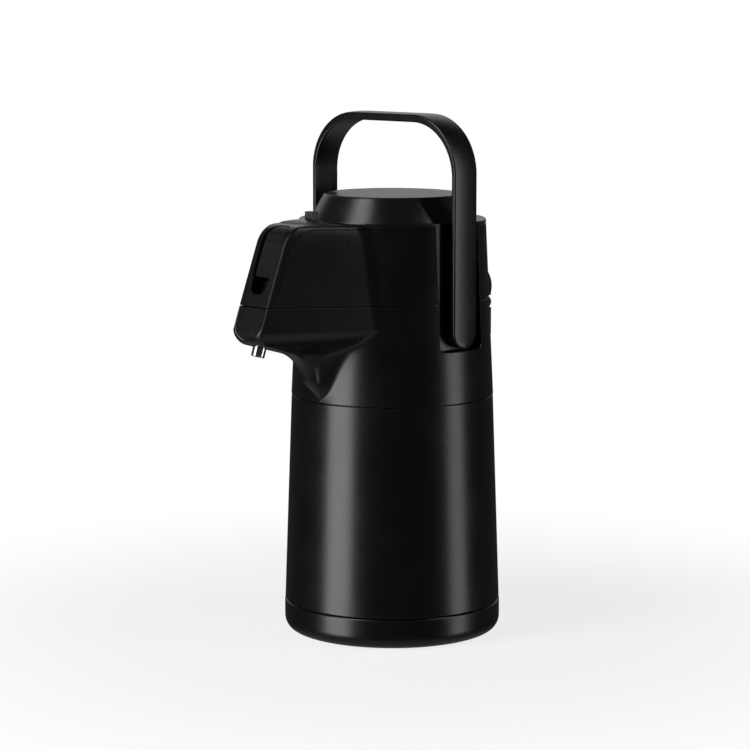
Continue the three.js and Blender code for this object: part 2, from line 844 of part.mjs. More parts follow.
function handleWasher() {
  const start = washerSeat - washerThickness;
  return rodX(start, start + washerThickness, handleOffset, pivotLevel, washerRadius)
    .subtract(rodX(start - overrun, start + overrun, handleOffset, pivotLevel, pegRadius + fitGap));
}

// Stopper: plug in the liner's mouth, cap on the deck, bores for siphon, outlet and air
function innerStopper() {
  const deckTop = deckLevel + deckThickness;
  const plug = mouthRadius - stopperClearance;
  const body = lathe([
    [0, stopperPlugBottom],
    [plug, stopperPlugBottom],
    [plug, deckTop + fitGap],
    [stopperRadius, deckTop + fitGap],
    [stopperRadius, stopperTop],
    [0, stopperTop],
  ]);
  const up = (x, y, radius, start, end) => rod(
    new THREE.Vector3(x, y, start), new THREE.Vector3(x, y, end), radius);
  const siphonSeat = up(
    0, 0, siphonRadius + fitGap, stopperPlugBottom - overrun, stopperPlugBottom + siphonInsert);
  const rise = up(0, 0, siphonBore, stopperPlugBottom, outletLevel);
  const air = up(0, airBorePlace, airBoreRadius, stopperPlugBottom - overrun, stopperTop + overrun);
  const run = rod(
    new THREE.Vector3(0, siphonBore, outletLevel),
    new THREE.Vector3(0, -stopperRadius, outletLevel), outletBore);
  const seat = rod(
    new THREE.Vector3(0, outletInsert - stopperRadius, outletLevel),
    new THREE.Vector3(0, -stopperRadius - overrun, outletLevel), outletRadius + fitGap);
  return body.subtract(siphonSeat).subtract(rise).subtract(air).subtract(run).subtract(seat);
}

function stopperGasket() {
  const inner = mouthRadius - stopperClearance + fitGap;
  return ring(inner, throatRadius - fitGap, deckLevel, deckLevel + gasketHeight, innerSides);
}

function siphonTube() {
  return ring(siphonBore, siphonRadius, siphonBottom, stopperPlugBottom + siphonInsert - fitGap, smallSides);
}

// Tube along a curve
function pipe(curve, outer, bore, steps, sides) {
  const circle = (radius) => arc(0, 0, radius, 0, Math.PI * 2, sides).slice(0, -1)
    .map(([x, y]) => new THREE.Vector2(x, y));
  const shape = new THREE.Shape(circle(outer));
  if (bore > 0) shape.holes.push(new THREE.Path(circle(bore).reverse()));
  return toSolid(new THREE.ExtrudeGeometry(shape, { steps, extrudePath: curve, bevelEnabled: false }));
}

function outletPipe() {
  const start = stopperRadius - outletInsert + fitGap;
  const intoNozzle = nozzleTop.clone().addScaledVector(nozzleAxis, outletInsert);
  const bend = nozzleTop.clone().addScaledVector(nozzleAxis, -fitGap);
  const curve = new THREE.CurvePath();
  const a = new THREE.Vector3(0, -start, outletLevel);
  const b = new THREE.Vector3(0, -noseRoot, outletLevel);
  const turn = new THREE.Vector3(0, bend.y + (outletLevel - bend.z) * Math.tan(nozzleTilt), outletLevel);
  curve.add(new THREE.LineCurve3(a, b));
  curve.add(new THREE.QuadraticBezierCurve3(b, turn, bend));
  curve.add(new THREE.LineCurve3(bend, intoNozzle));
  return pipe(curve, outletRadius, outletBore, outletSteps, outletSides);
}

function nozzle() {
  return rod(nozzleTop, nozzleEnd, nozzleRadius, nozzleSides)
    .subtract(rod(
      nozzleTop.clone().addScaledVector(nozzleAxis, -overrun),
      nozzleEnd.clone().addScaledVector(nozzleAxis, overrun), nozzleRadius - nozzleWall, nozzleSides));
}

// Grommet round the nozzle, on the floor of the trough
function nozzleSeal() {
  const floor = noseFloor(nozzleTopReach);
  const drop = nozzleTop.z - floor - shellWall - nozzleRadius * Math.sin(nozzleTilt);
  const down = drop / Math.cos(nozzleTilt);
  const foot = nozzleTop.clone().addScaledVector(nozzleAxis, down - sealHeight);
  const head = foot.clone().addScaledVector(nozzleAxis, -sealHeight);
  return rod(foot, head, nozzleRadius + fitGap + sealRing)
    .subtract(rod(nozzleTop, nozzleEnd, nozzleRadius + fitGap));
}

// Level of the nose's underside at a reach, after the climb
function noseFloor(reach) {
  const level = sweepEnd.level + (reach - sweepEnd.reach) * Math.tan(undersideSlope);
  return level + climb(reach, level);
}

// Outlines on the front face
function leverOutline(grow) {
  const half = leverHalfWidth + grow;
  const low = leverLowerCorner + grow;
  const high = leverCorner + grow;
  const bottom = leverBottom - grow;
  const top = leverTop + grow;
  return [
    ...arc(low - half, bottom + low, low, Math.PI, Math.PI * 3 / 2, 2),
    ...arc(half - low, bottom + low, low, Math.PI * 3 / 2, Math.PI * 2, 2),
    ...arc(half - high, top - high, high, 0, Math.PI / 2, 4),
    ...arc(high - half, top - high, high, Math.PI / 2, Math.PI, 4),
  ];
}

function wellOutline(grow) {
  const half = wellHalfWidth + grow;
  const radius = wellCorner + grow;
  const level = wellBottom + wellCorner;
  return [
    ...arc(radius - half, level, radius, Math.PI, Math.PI * 3 / 2, 4),
    ...arc(half - radius, level, radius, Math.PI * 3 / 2, Math.PI * 2, 4),
    [half, wellTop + grow],
    [-half, wellTop + grow],
  ];
}

// Head: outer form, pump room, button sleeve, recesses, lever window and finger well
function headShell() {
  const sleeveInner = buttonRadius + buttonClearance;
  const sleeve = ring(sleeveInner, sleeveInner + sleeveWall, headTop - sleeveDepth, headTop - topDeck / 2);
  const room = cone(shellWall, headSeam - overrun, headTop - topDeck);
  const noseRoom = headForm(shellWall, headSeam - overrun, headTop - topDeck);
  const well = prismFace(wellOutline(wellWall), wellDepth + wellWall, -leverThickness / 2)
    .intersect(headForm());
  const window = prismFace(leverOutline(leverGap), leverPinDepth + hubRadius * 2, overrun * 2);
  const cutWell = prismFace(wellOutline(0), wellDepth, overrun);
  const knobSlot = box(
    -knobNeck - sliderTravel - fitGap, knobNeck + sliderTravel + fitGap,
    -knobPlace - knobNeck - fitGap, -knobPlace + knobNeck + fitGap, headTop - overrun, headTop + overrun);
  const tongueSlot = box(
    -tongueHalfWidth - sliderTravel - fitGap, tongueHalfWidth + sliderTravel + fitGap,
    -sleeveInner - sleeveWall * 2, -sleeveInner + sleeveWall * 2,
    sliderFootLevel() - fitGap, sliderFootLevel() + sliderFoot + fitGap);
  const pinEnd = noseHalfWidth - leverPinSeat;
  const pinHole = rodX(-pinEnd, pinEnd, leverPin.y, leverPin.z, leverPinRadius + fitGap);
  const form = headForm();
  let shell = form
    .subtract(room.subtract(recessCut(shellWall)))
    .subtract(noseRoom.subtract(recessCut(shellWall)).subtract(cone(0, headTop - topDeck, headTop)))
    .add(sleeve)
    .subtract(recessCut())
    .subtract(disc(sleeveInner, headTop - sleeveDepth - overrun, headTop + overrun))
    .add(well)
    .subtract(cutWell)
    .subtract(window.subtract(prismFace(wellOutline(wellWall), wellDepth + wellWall, -leverThickness * 2)))
    .subtract(knobSlot)
    .subtract(tongueSlot)
    .subtract(pinHole);
  for (const angle of screwAngles()) {
    const x = screwCircle * Math.cos(angle);
    const y = screwCircle * Math.sin(angle);
    const bottom = plateLevel + plateThickness + fitGap;
    const boss = rod(
      new THREE.Vector3(x, y, bottom), new THREE.Vector3(x, y, bottom + screwBossHeight), screwBossRadius);
    const hole = rod(
      new THREE.Vector3(x, y, bottom - overrun), new THREE.Vector3(x, y, bottom + screwLength),
      screwRadius + fitGap);
    shell = shell.add(boss.intersect(form)).subtract(hole);
  }
  return shell;
}

function screwAngles() {
  return Array.from({ length: screwCount }, (_, i) => Math.PI / screwCount + i * Math.PI * 2 / screwCount);
}

function sliderFootLevel() {
  return headTop - topDeck - fitGap - sliderFoot;
}

// Plate that closes the head from below and carries the pump
function headPlate() {
  const outer = coneRadius(plateLevel + plateThickness) - shellWall - plateClearance;
  const top = plateLevel + plateThickness;
  let plate = disc(outer, plateLevel, top).subtract(recessCut(shellWall + plateClearance));
  const hole = (x, y, radius) => rod(
    new THREE.Vector3(x, y, plateLevel - overrun), new THREE.Vector3(x, y, top + overrun), radius);
  plate = plate.subtract(hole(0, 0, valveStem + fitGap));
  for (let i = 0; i < ventCount; i++) {
    const angle = i * Math.PI * 2 / ventCount;
    plate = plate.subtract(hole(ventPlace * Math.cos(angle), ventPlace * Math.sin(angle), ventRadius));
  }
  for (const angle of screwAngles()) {
    plate = plate.subtract(hole(
      screwCircle * Math.cos(angle), screwCircle * Math.sin(angle), screwRadius + fitGap));
  }
  return plate;
}

// A pan head screw with its head below, standing at its own origin
function screw(length, headRadius, shankRadius, headHeight) {
  return lathe([
    [0, 0],
    [headRadius, 0],
    [headRadius, headHeight],
    [shankRadius, headHeight],
    [shankRadius, headHeight + length],
    [0, headHeight + length],
  ], smallSides);
}

function pressureSeal() {
  return ring(pressureSealInner, pressureSealOuter, stopperTop + fitGap, plateLevel - fitGap, innerSides);
}

const pumpFloor = plateLevel + plateThickness + fitGap;
const pumpCeiling = buttonTop - buttonWall - fitGap;

function airValve() {
  const bulb = valveStem + plateThickness / 2;
  return lathe([
    [0, plateLevel - plateThickness / 2 - fitGap],
    [valveStem + fitGap * 2, plateLevel - plateThickness / 2 - fitGap],
    [valveStem + fitGap * 3, plateLevel - fitGap],
    [valveStem, plateLevel - fitGap],
    [valveStem, pumpFloor],
    [valveRadius, pumpFloor],
    [valveRadius, pumpFloor + valveThickness / 2],
    [bulb, pumpFloor + valveThickness],
    [0, pumpFloor + valveThickness],
  ], smallSides);
}

// Bellows: folded wall between two flanges
function bellows() {
  const bottom = pumpFloor + bellowsWall;
  const top = pumpCeiling - bellowsWall;
  const waist = bellowsRadius - bellowsFold;
  const outside = levels(bottom, top, bellowsFolds * 2)
    .map((level, i) => [i % 2 ? bellowsRadius : waist, level]);
  const inside = outside.map(([radius, level]) => [radius - bellowsWall, level]).reverse();
  return latheRing([
    [bellowsMouth, pumpFloor],
    [waist, pumpFloor],
    ...outside,
    [waist, pumpCeiling],
    [bellowsMouth, pumpCeiling],
    [bellowsMouth, top],
    ...inside,
    [bellowsMouth, bottom],
  ], innerSides);
}

// Helix for the return spring
class Helix extends THREE.Curve {
  constructor(radius, bottom, top, turns) {
    super();
    Object.assign(this, { radius, bottom, top, turns });
  }

  getPoint(share, target = new THREE.Vector3()) {
    const angle = share * this.turns * Math.PI * 2;
    const level = THREE.MathUtils.lerp(this.bottom, this.top, share);
    return target.set(this.radius * Math.cos(angle), this.radius * Math.sin(angle), level);
  }
}

// One unbroken tube of a coil, with its section standing in the axis plane
function coil(radius, wire, bottom, top, turns) {
  const helix = new Helix(radius, bottom + wire, top - wire, turns);
  const steps = turns * springStepsPerTurn;
  const positions = [];
  const index = [];
  for (let step = 0; step <= steps; step++) {
    const centre = helix.getPoint(step / steps);
    const out = new THREE.Vector3(centre.x, centre.y, 0).normalize();
    for (let side = 0; side < springWireSides; side++) {
      const angle = side * Math.PI * 2 / springWireSides;
      const point = centre.clone().addScaledVector(out, wire * Math.cos(angle));
      positions.push(point.x, point.y, point.z + wire * Math.sin(angle));
    }
  }
  for (let step = 0; step < steps; step++) {
    for (let side = 0; side < springWireSides; side++) {
      const a = step * springWireSides + side;
      const b = step * springWireSides + (side + 1) % springWireSides;
      index.push(a, b, b + springWireSides, a, b + springWireSides, a + springWireSides);
    }
  }
  const last = steps * springWireSides;
  for (let side = 1; side + 1 < springWireSides; side++) {
    index.push(0, side + 1, side, last, last + side, last + side + 1);
  }
  const geometry = new THREE.BufferGeometry();
  geometry.setAttribute('position', new THREE.Float32BufferAttribute(positions, 3));
  geometry.setIndex(index);
  console.log(`least gap between turns ${((top - bottom - wire * 2) / turns - wire * 2).toFixed(2)} mm`);
  return toSolid(geometry);
}

// Button: flat top, conical flank, skirt with guide flange and spring locator
function pushButton() {
  const flankTop = buttonTop - buttonEdge;
  const skirtInner = buttonRadius - buttonWall;
  const underTop = buttonTop - buttonWall;
  const flangeRadius = buttonRadius + flangeOut;
  const body = lathe([
    [0, buttonTop],
    [buttonTopRadius - buttonEdge, buttonTop],
    [buttonTopRadius, flankTop],
    [buttonRadius, headTop],
    [buttonRadius, skirtBottom + flangeHeight],
    [flangeRadius, skirtBottom + flangeHeight],
    [flangeRadius, skirtBottom],
    [skirtInner, skirtBottom],
    [skirtInner, headTop - buttonWall],
    [buttonTopRadius - buttonWall, underTop],
    [locatorRadius, underTop],
    [locatorRadius, underTop - locatorHeight],
    [locatorRadius - locatorWall, underTop - locatorHeight],
    [locatorRadius - locatorWall, underTop],
    [0, underTop],
  ].reverse());
  const trim = recessHalfWidth + shellWall + plateClearance;
  const flangeTop = skirtBottom + flangeHeight + fitGap;
  const flangeCut = ring(buttonRadius, baseRadius, skirtBottom - overrun, flangeTop)
    .intersect(box(-baseRadius, baseRadius, -trim, trim, skirtBottom - overrun * 2, skirtBottom + overrun));
  return body.subtract(flangeCut);
}

// Lock slider: ridged knob, neck through the slot, foot and tongue under the deck
function lockSlider() {
  const foot = sliderFootLevel();
  const knobBottom = headTop + climb(knobPlace + knobHalfDepth, headTop) + fitGap;
  let knob = box(-knobHalfLength, knobHalfLength, -knobPlace - knobHalfDepth, -knobPlace + knobHalfDepth,
    knobBottom, knobTop);
  const pitch = knobHalfLength * 2 / ridgeCount;
  for (let i = 0; i < ridgeCount - 1; i++) {
    const x = -knobHalfLength + pitch * (i + 1);
    knob = knob.subtract(box(x - ridgeDepth, x + ridgeDepth, -knobPlace - knobHalfDepth - overrun,
      -knobPlace + knobHalfDepth + overrun, knobTop - ridgeDepth * 2, knobTop + overrun));
  }
  const neck = box(
    -knobNeck, knobNeck, -knobPlace - knobNeck, -knobPlace + knobNeck, foot, knobBottom + ridgeDepth);
  const plate = box(
    -sliderFootHalf, sliderFootHalf, -knobPlace - sliderFootHalf, -knobPlace + sliderFootHalf,
    foot, foot + sliderFoot);
  const tongueEnd = buttonRadius + buttonClearance + fitGap;
  const tongue = box(-tongueHalfWidth, tongueHalfWidth, -knobPlace, -tongueEnd, foot, foot + sliderFoot);
  return union(knob, neck, plate, tongue);
}

// Release lever: flap in the front face, hub on its pin, tail with the catch tooth
function releaseLever() {
  const shift = (solid, inward) => moved(
    solid, new THREE.Matrix4().setPosition(faceOut.clone().multiplyScalar(-inward)));
  const flap = prismFace(leverOutline(0), leverPinDepth + hubRadius, overrun * 2)
    .intersect(shift(headForm(), leverSink))
    .subtract(shift(headForm(), leverSink + leverThickness));
  const webFoot = onFace(leverPinUp, leverSink + leverThickness / 2);
  const half = hubRadius;
  const web = prismX([
    [webFoot.y - faceUp.y * half, webFoot.z - faceUp.z * half],
    [leverPin.y - faceUp.y * half, leverPin.z - faceUp.z * half],
    [leverPin.y + faceUp.y * half, leverPin.z + faceUp.z * half],
    [webFoot.y + faceUp.y * half, webFoot.z + faceUp.z * half],
  ], -tailHalfWidth, tailHalfWidth);
  const hub = rodX(-tailHalfWidth, tailHalfWidth, leverPin.y, leverPin.z, hubRadius);
  const front = tailPlace - tailThickness / 2;
  const back = tailPlace + tailThickness / 2;
  const tail = prismX([
    [leverPin.y, leverPin.z - tailThickness],
    [front, leverPin.z - tailThickness - tailOffset / 2],
    [front, tailBottom],
    [back + catchTooth, tailBottom],
    [back, tailBottom + catchTooth * 2],
    [back, leverPin.z - tailOffset / 2],
    [leverPin.y + hubRadius / 2, leverPin.z + tailThickness],
  ], -tailHalfWidth, tailHalfWidth);
  return union(flap, web, hub, tail)
    .subtract(rodX(-noseHalfWidth, noseHalfWidth, leverPin.y, leverPin.z, leverPinRadius + fitGap));
}

function leverPinRod() {
  const end = noseHalfWidth - leverPinSeat - fitGap;
  return rodX(-end, end, leverPin.y, leverPin.z, leverPinRadius);
}

// Torsion spring beside the hub, round the pin
function leverSpring() {
  const radius = leverPinRadius + fitGap + leverSpringWire;
  const bottom = tailHalfWidth + fitGap;
  const top = bottom + leverSpringTurns * leverSpringPitch + leverSpringWire * 2;
  const turn = new THREE.Matrix4().makeRotationY(Math.PI / 2).setPosition(leverPin);
  return moved(coil(radius, leverSpringWire, bottom, top, leverSpringTurns), turn);
}

// Rear hinge, cut to stand off the cone by the fit gap
function coneGrown() {
  return lathe([
    [0, shoulderBottom],
    [coneRadius(shoulderBottom) + fitGap, shoulderBottom],
    [coneRadius(headTop) + fitGap, headTop],
    [0, headTop],
  ]);
}

function hingeBracket() {
  const knuckle = hingeKnuckle;
  const root = shoulderRadius - bracketFoot;
  const side = prismX([
    [root, hingeLevel - knuckle * 2],
    [hingeReach, hingeLevel - knuckle],
    ...arc(hingeReach, hingeLevel, knuckle, -Math.PI / 2, Math.PI / 2, 6),
    [root, hingeLevel + knuckle],
  ], hingeHalfWidth - cheekWidth, hingeHalfWidth);
  const tabOuter = hingeReach + knuckle;
  const tab = box(-hingeHalfWidth, hingeHalfWidth, tabOuter - tabThickness, tabOuter,
    hingeLevel - tabDrop, hingeLevel - knuckle);
  const tieTop = hingeLevel - knuckle - fitGap * 2;
  const tie = box(-hingeHalfWidth, hingeHalfWidth, shoulderRadius - bracketFoot, tabOuter,
    tieTop - tabThickness, tieTop);
  return union(bothSides(side), tab, tie)
    .subtract(coneGrown())
    .subtract(rodX(-baseRadius, baseRadius, hingeReach, hingeLevel, hingePinRadius + fitGap));
}

function hingeCover() {
  const inner = hingeHalfWidth - cheekWidth - fitGap;
  const root = headTopRadius - bracketFoot;
  const bottom = headSeam + seamGap;
  const top = hingeLevel + coverRise;
  const fin = prismX([
    [root, bottom],
    [hingeReach, hingeLevel + hingeKnuckle + fitGap * 2],
    [coverReach - tabThickness, hingeLevel + hingeKnuckle + fitGap * 2],
    [coverReach, hingeLevel + coverRise * coverBellyShare],
    [coverReach - tabThickness, hingeLevel + coverRise * coverWaistShare],
    [coverReach - tabThickness * 4, hingeLevel + coverRise * coverBrowShare],
    [root, top],
  ], -hingeHalfWidth, hingeHalfWidth);
  const knuckle = prismX([
    [hingeReach - hingeKnuckle, headSeam + seamGap],
    ...arc(hingeReach, hingeLevel, hingeKnuckle, Math.PI, Math.PI * 2, 6),
    [hingeReach + hingeKnuckle, headSeam + seamGap],
  ], -inner, inner);
  return union(fin, knuckle)
    .subtract(coneGrown())
    .subtract(rodX(-baseRadius, baseRadius, hingeReach, hingeLevel, hingePinRadius + fitGap));
}

function hingePin() {
  return rodX(-hingeHalfWidth, hingeHalfWidth, hingeReach, hingeLevel, hingePinRadius);
}

// Finishes
function finish(color, roughness, metalness = 0, extra = {}) {
  return new THREE.MeshStandardMaterial({ color, roughness, metalness, ...extra });
}

const blackPlastic = finish(0x1c1d1f, 0.32);
const satinPlastic = finish(0x2b2c2f, 0.45);
const clearGlass = finish(0xcfd6d8, 0.05, 0, { transparent: true, opacity: 0.5 });
const rubber = finish(0x3a3a3a, 0.85);
const steel = finish(0xb9bcc0, 0.25, 1);
const whitePlastic = finish(0xe6e4dd, 0.5);

function addPart(group, name, solid, material) {
  const mesh = new THREE.Mesh(toGeometry(solid), material);
  mesh.name = name;
  group.add(mesh);
  return mesh;
}

const airpot = new THREE.Group();
const body = new THREE.Group();
const bail = new THREE.Group();
const head = new THREE.Group();
airpot.add(body, bail, head);

addPart(body, 'base_cover', baseCover(), blackPlastic);
addPart(body, 'liner_support_plug', supportPlug(), blackPlastic);
addPart(body, 'liner_cushion', linerCushion(), rubber);
addPart(body, 'outer_body', outerBody(), blackPlastic);
addPart(body, 'vacuum_liner', vacuumLiner(), clearGlass);
addPart(body, 'liner_gasket', linerGasket(), rubber);
addPart(body, 'shoulder', shoulder(), blackPlastic);
addPart(body, 'inner_stopper', innerStopper(), whitePlastic);
addPart(body, 'stopper_gasket', stopperGasket(), rubber);
addPart(body, 'siphon_tube', siphonTube(), whitePlastic);
addPart(body, 'outlet_pipe', outletPipe(), whitePlastic);
addPart(body, 'nozzle', nozzle(), steel);
addPart(body, 'nozzle_seal', nozzleSeal(), rubber);
addPart(body, 'hinge_bracket', hingeBracket(), blackPlastic);
addPart(body, 'hinge_pin', hingePin(), steel);

addPart(bail, 'handle', handle(), blackPlastic);
addPart(bail, 'handle_washer_right', handleWasher(), steel);
addPart(bail, 'handle_washer_left', mirrorX(handleWasher()), steel);

addPart(head, 'head_shell', headShell(), blackPlastic);
addPart(head, 'hinge_cover', hingeCover(), blackPlastic);
addPart(head, 'head_plate', headPlate(), whitePlastic);
addPart(head, 'pressure_seal', pressureSeal(), rubber);
addPart(head, 'air_valve', airValve(), rubber);
addPart(head, 'bellows', bellows(), whitePlastic);
addPart(head, 'return_spring', coil(springRadius, springWire, pumpFloor, pumpCeiling, springTurns), steel);
addPart(head, 'push_button', pushButton(), satinPlastic);
addPart(head, 'lock_slider', lockSlider(), blackPlastic);
addPart(head, 'release_lever', releaseLever(), blackPlastic);
addPart(head, 'lever_pin', leverPinRod(), steel);
addPart(head, 'lever_spring', leverSpring(), steel);
screwAngles().forEach((angle, i) => {
  const solid = screw(screwLength, screwHeadRadius, screwRadius, screwHeadHeight);
  const mesh = addPart(head, `head_screw_${i + 1}`, solid, steel);
  mesh.position.set(
    screwCircle * Math.cos(angle), screwCircle * Math.sin(angle), plateLevel - fitGap - screwHeadHeight);
});

export default airpot;
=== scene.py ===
from math import asin, atan2, cos, hypot, pi, radians, sin, sqrt, tan, tau
import bpy
import bmesh
from mathutils import Matrix, Vector


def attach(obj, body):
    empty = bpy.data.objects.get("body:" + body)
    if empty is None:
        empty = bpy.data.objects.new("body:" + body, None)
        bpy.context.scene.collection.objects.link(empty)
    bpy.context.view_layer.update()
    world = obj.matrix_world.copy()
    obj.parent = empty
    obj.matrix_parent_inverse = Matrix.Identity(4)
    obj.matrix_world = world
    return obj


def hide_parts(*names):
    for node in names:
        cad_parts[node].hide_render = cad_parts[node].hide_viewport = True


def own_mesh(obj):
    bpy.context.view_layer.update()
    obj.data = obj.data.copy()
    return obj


# thermal coffee airpot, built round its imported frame: sizes in millimetres, spout towards -Y
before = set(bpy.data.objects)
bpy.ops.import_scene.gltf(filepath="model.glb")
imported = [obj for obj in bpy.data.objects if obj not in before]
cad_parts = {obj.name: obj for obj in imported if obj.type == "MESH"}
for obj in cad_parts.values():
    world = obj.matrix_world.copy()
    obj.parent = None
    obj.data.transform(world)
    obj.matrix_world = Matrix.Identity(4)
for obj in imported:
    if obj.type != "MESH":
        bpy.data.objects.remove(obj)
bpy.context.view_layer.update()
mm = 0.001
quarter = pi / 2

# camera at the photograph's place, 45 degrees to the right of the spout
camera = {"turn": 45.0, "tilt": 8.27, "distance": 2001.0, "aside": 13.4, "height": 488.9,
          "sensor": 36.0, "lens": 125.04}


def addObject(name, data):
    made = bpy.data.objects.new(name, data)
    bpy.context.scene.collection.objects.link(made)
    return made


def setCamera():
    turn, tilt = radians(camera["turn"]), radians(camera["tilt"])
    right = Vector((cos(turn), sin(turn), 0))
    away = Vector((sin(turn), -cos(turn), 0))
    look = -away * cos(tilt) - Vector((0, 0, sin(tilt)))
    place = away * camera["distance"] - right * camera["aside"] + Vector((0, 0, camera["height"]))
    data = bpy.data.cameras.new("photoCamera")
    data.sensor_width = camera["sensor"]
    data.lens = camera["lens"]
    axes = Matrix((right, right.cross(look), -look)).transposed().to_4x4()
    eye = addObject("photoCamera", data)
    eye.matrix_world = Matrix.Translation(place * mm) @ axes
    bpy.context.scene.camera = eye


setCamera()
print("camera set")

# ---- small maths
softShare = 0.4  # how much of a ramp is rounded
cornerShare = 0.49  # most of a side that one rounded corner takes
breakShare = 0.3  # where a broken edge has its middle ring
notQuite = 0.99


def lerp(a, b, share):
    return a + (b - a) * share


def shareOf(value, low, high):
    return min(max((value - low) / (high - low), 0), 1)


def smoothStep(value, low, high):
    share = shareOf(value, low, high)
    return share * share * (3 - 2 * share)


def softRamp(value, low, high):
    # a straight ramp with slightly rounded ends
    return lerp(shareOf(value, low, high), smoothStep(value, low, high), softShare)


def spread(start, end, count):
    # even steps, both ends included
    return [lerp(start, end, i / count) for i in range(count + 1)]


def about(centre, half):
    return centre - half, centre + half


def fullTurn(count):
    return spread(0, tau, count)[:-1]


def arc(x, y, radius, start, end, count):
    return [(x + radius * cos(a), y + radius * sin(a)) for a in spread(start, end, count)]


def bend(first, middle, last, count):
    # a short curve from first to last that leans to the middle
    first, middle, last = Vector(first), Vector(middle), Vector(last)
    return [tuple(first.lerp(middle, share).lerp(middle.lerp(last, share), share))
            for share in spread(0, 1, count)]


def bothSides(points, shared=0):
    # the right side, then its mirror image back along the left, without the shared points
    return points + [(-p[0], *p[1:]) for p in points[:len(points) - shared][::-1]]


def softProfile(corners, closed=True, count=4):
    # corners are (across, up, rounding); each corner is rounded by a short curve
    path = []
    for i, (x, y, size) in enumerate(corners):
        if size == 0 or (not closed and i in (0, len(corners) - 1)):
            path.append((x, y))
            continue
        here = Vector((x, y))
        ways = [Vector(corners[k % len(corners)][:2]) - here for k in (i - 1, i + 1)]
        first, last = [here + way.normalized() * min(size, way.length * cornerShare) for way in ways]
        path += bend(first, here, last, count)
    return path


# ---- mesh building
weld = 0.004  # points closer than this are one
sliver = 0.002  # edges shorter than this go
sides = {"shell": 160, "head": 128, "deck": 96, "boss": 64, "pin": 40, "wire": 10, "line": 8}


def makeSolid(name, points, faces):
    mesh = bpy.data.meshes.new(name)
    mesh.from_pydata([Vector(p) * mm for p in points], [], faces)
    work = bmesh.new()
    work.from_mesh(mesh)
    bmesh.ops.remove_doubles(work, verts=work.verts, dist=weld * mm)
    bmesh.ops.dissolve_degenerate(work, edges=work.edges, dist=sliver * mm)
    bmesh.ops.recalc_face_normals(work, faces=work.faces)
    work.to_mesh(mesh)
    work.free()
    return addObject(name, mesh)


def loft(name, rings, capped=True, closed=False):
    # skin over rings of one count; closed joins the last ring to the first
    count = len(rings[0])
    faces = []
    for k in range(len(rings) if closed else len(rings) - 1):
        low, high = k * count, ((k + 1) % len(rings)) * count
        for i in range(count):
            j = (i + 1) % count
            faces.append((low + i, low + j, high + j, high + i))
    if capped and not closed:
        last = (len(rings) - 1) * count
        faces.append(tuple(range(count))[::-1])
        faces.append(tuple(range(last, last + count)))
    return makeSolid(name, [p for ring in rings for p in ring], faces)


def revolve(name, profile, count, closed=True):
    # an open profile starts and ends on the axis, a closed one returns to its start
    rings = [[(radius * cos(a), radius * sin(a), height) for a in fullTurn(count)]
             for radius, height in profile]
    return loft(name, rings, capped=False, closed=closed)


def lathe(name, corners, count, closed=True, rounding=4):
    return revolve(name, softProfile(corners, closed, rounding), count, closed)


def bake(piece):
    graph = bpy.context.evaluated_depsgraph_get()
    made = bpy.data.meshes.new_from_object(piece.evaluated_get(graph))
    piece.modifiers.clear()
    piece.data = made


def cut(piece, *others):
    for other in others:
        change = piece.modifiers.new("cut", "BOOLEAN")
        change.operation = "DIFFERENCE"
        change.object = other
        change.solver = "EXACT"
        bake(piece)
        bpy.data.objects.remove(other)
    return piece


def gather(piece, *others):
    work = bmesh.new()
    work.from_mesh(piece.data)
    for other in others:
        work.from_mesh(other.data)
        bpy.data.objects.remove(other)
    work.to_mesh(piece.data)
    work.free()


def dress(piece, finish, body, slot, *nodes, crease=32):
    # edges sharper than the crease angle stay sharp in the shading
    work = bmesh.new()
    work.from_mesh(piece.data)
    limit = radians(crease)
    for face in work.faces:
        face.smooth = True
    for edge in work.edges:
        edge.smooth = len(edge.link_faces) == 2 and edge.calc_face_angle(0) < limit
    work.to_mesh(piece.data)
    work.free()
    # flat faces keep their own shading beside the rounded edges
    steady = piece.modifiers.new("steady", "WEIGHTED_NORMAL")
    steady.keep_sharp = True
    bake(piece)
    piece.data.materials.clear()
    piece.data.materials.append(finish)
    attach(piece, body)
    if nodes:
        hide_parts(*nodes)


def mirrored(piece, name):
    copy = addObject(name, piece.data.copy())
    copy.data.transform(Matrix.Scale(-1, 4, (1, 0, 0)))
    copy.data.flip_normals()
    return copy


def tube(name, points, radius, count):
    # round bar along points, its section carried without twist
    path = [Vector(p) for p in points]
    side = (path[1] - path[0]).normalized().orthogonal().normalized()
    rings = []
    for i, here in enumerate(path):
        along = (path[min(i + 1, len(path) - 1)] - path[max(i - 1, 0)]).normalized()
        side = (side - along * side.dot(along)).normalized()
        other = along.cross(side)
        rings.append([tuple(here + side * radius * cos(a) + other * radius * sin(a))
                      for a in fullTurn(count)])
    return loft(name, rings)


def endRings(low, high, edge):
    # stations along a bar as (place, inset), with both ends broken
    middle = edge * breakShare
    return [(low, edge), (low + middle, middle), (low + edge, 0),
            (high - edge, 0), (high - middle, middle), (high, edge)]


def bar(name, across, along, up, edge):
    # block between pairs of limits, with every edge broken; its corners never quite close
    (x0, x1), (y0, y1) = [(low + edge, high - edge) for low, high in (across, along)]
    rings = []
    for z, take in endRings(*up, edge):
        ring = []
        for k, (x, y) in enumerate(((x1, y1), (x0, y1), (x0, y0), (x1, y0))):
            corner = arc(x, y, edge - take * notQuite, k * quarter, (k + 1) * quarter, 3)
            ring += [(*p, z) for p in corner]
        rings.append(ring)
    return loft(name, rings)


def prism(name, profile, across, edge):
    # side profile swept across, with both ends broken
    centre = Vector((sum(p[0] for p in profile), sum(p[1] for p in profile))) / len(profile)
    rings = []
    for x, take in endRings(*across, edge):
        ring = []
        for point in profile:
            away = Vector(point) - centre
            ring.append((x, *(centre + away * (1 - take / max(away.length, edge * 3)))))
        rings.append(ring)
    return loft(name, rings)


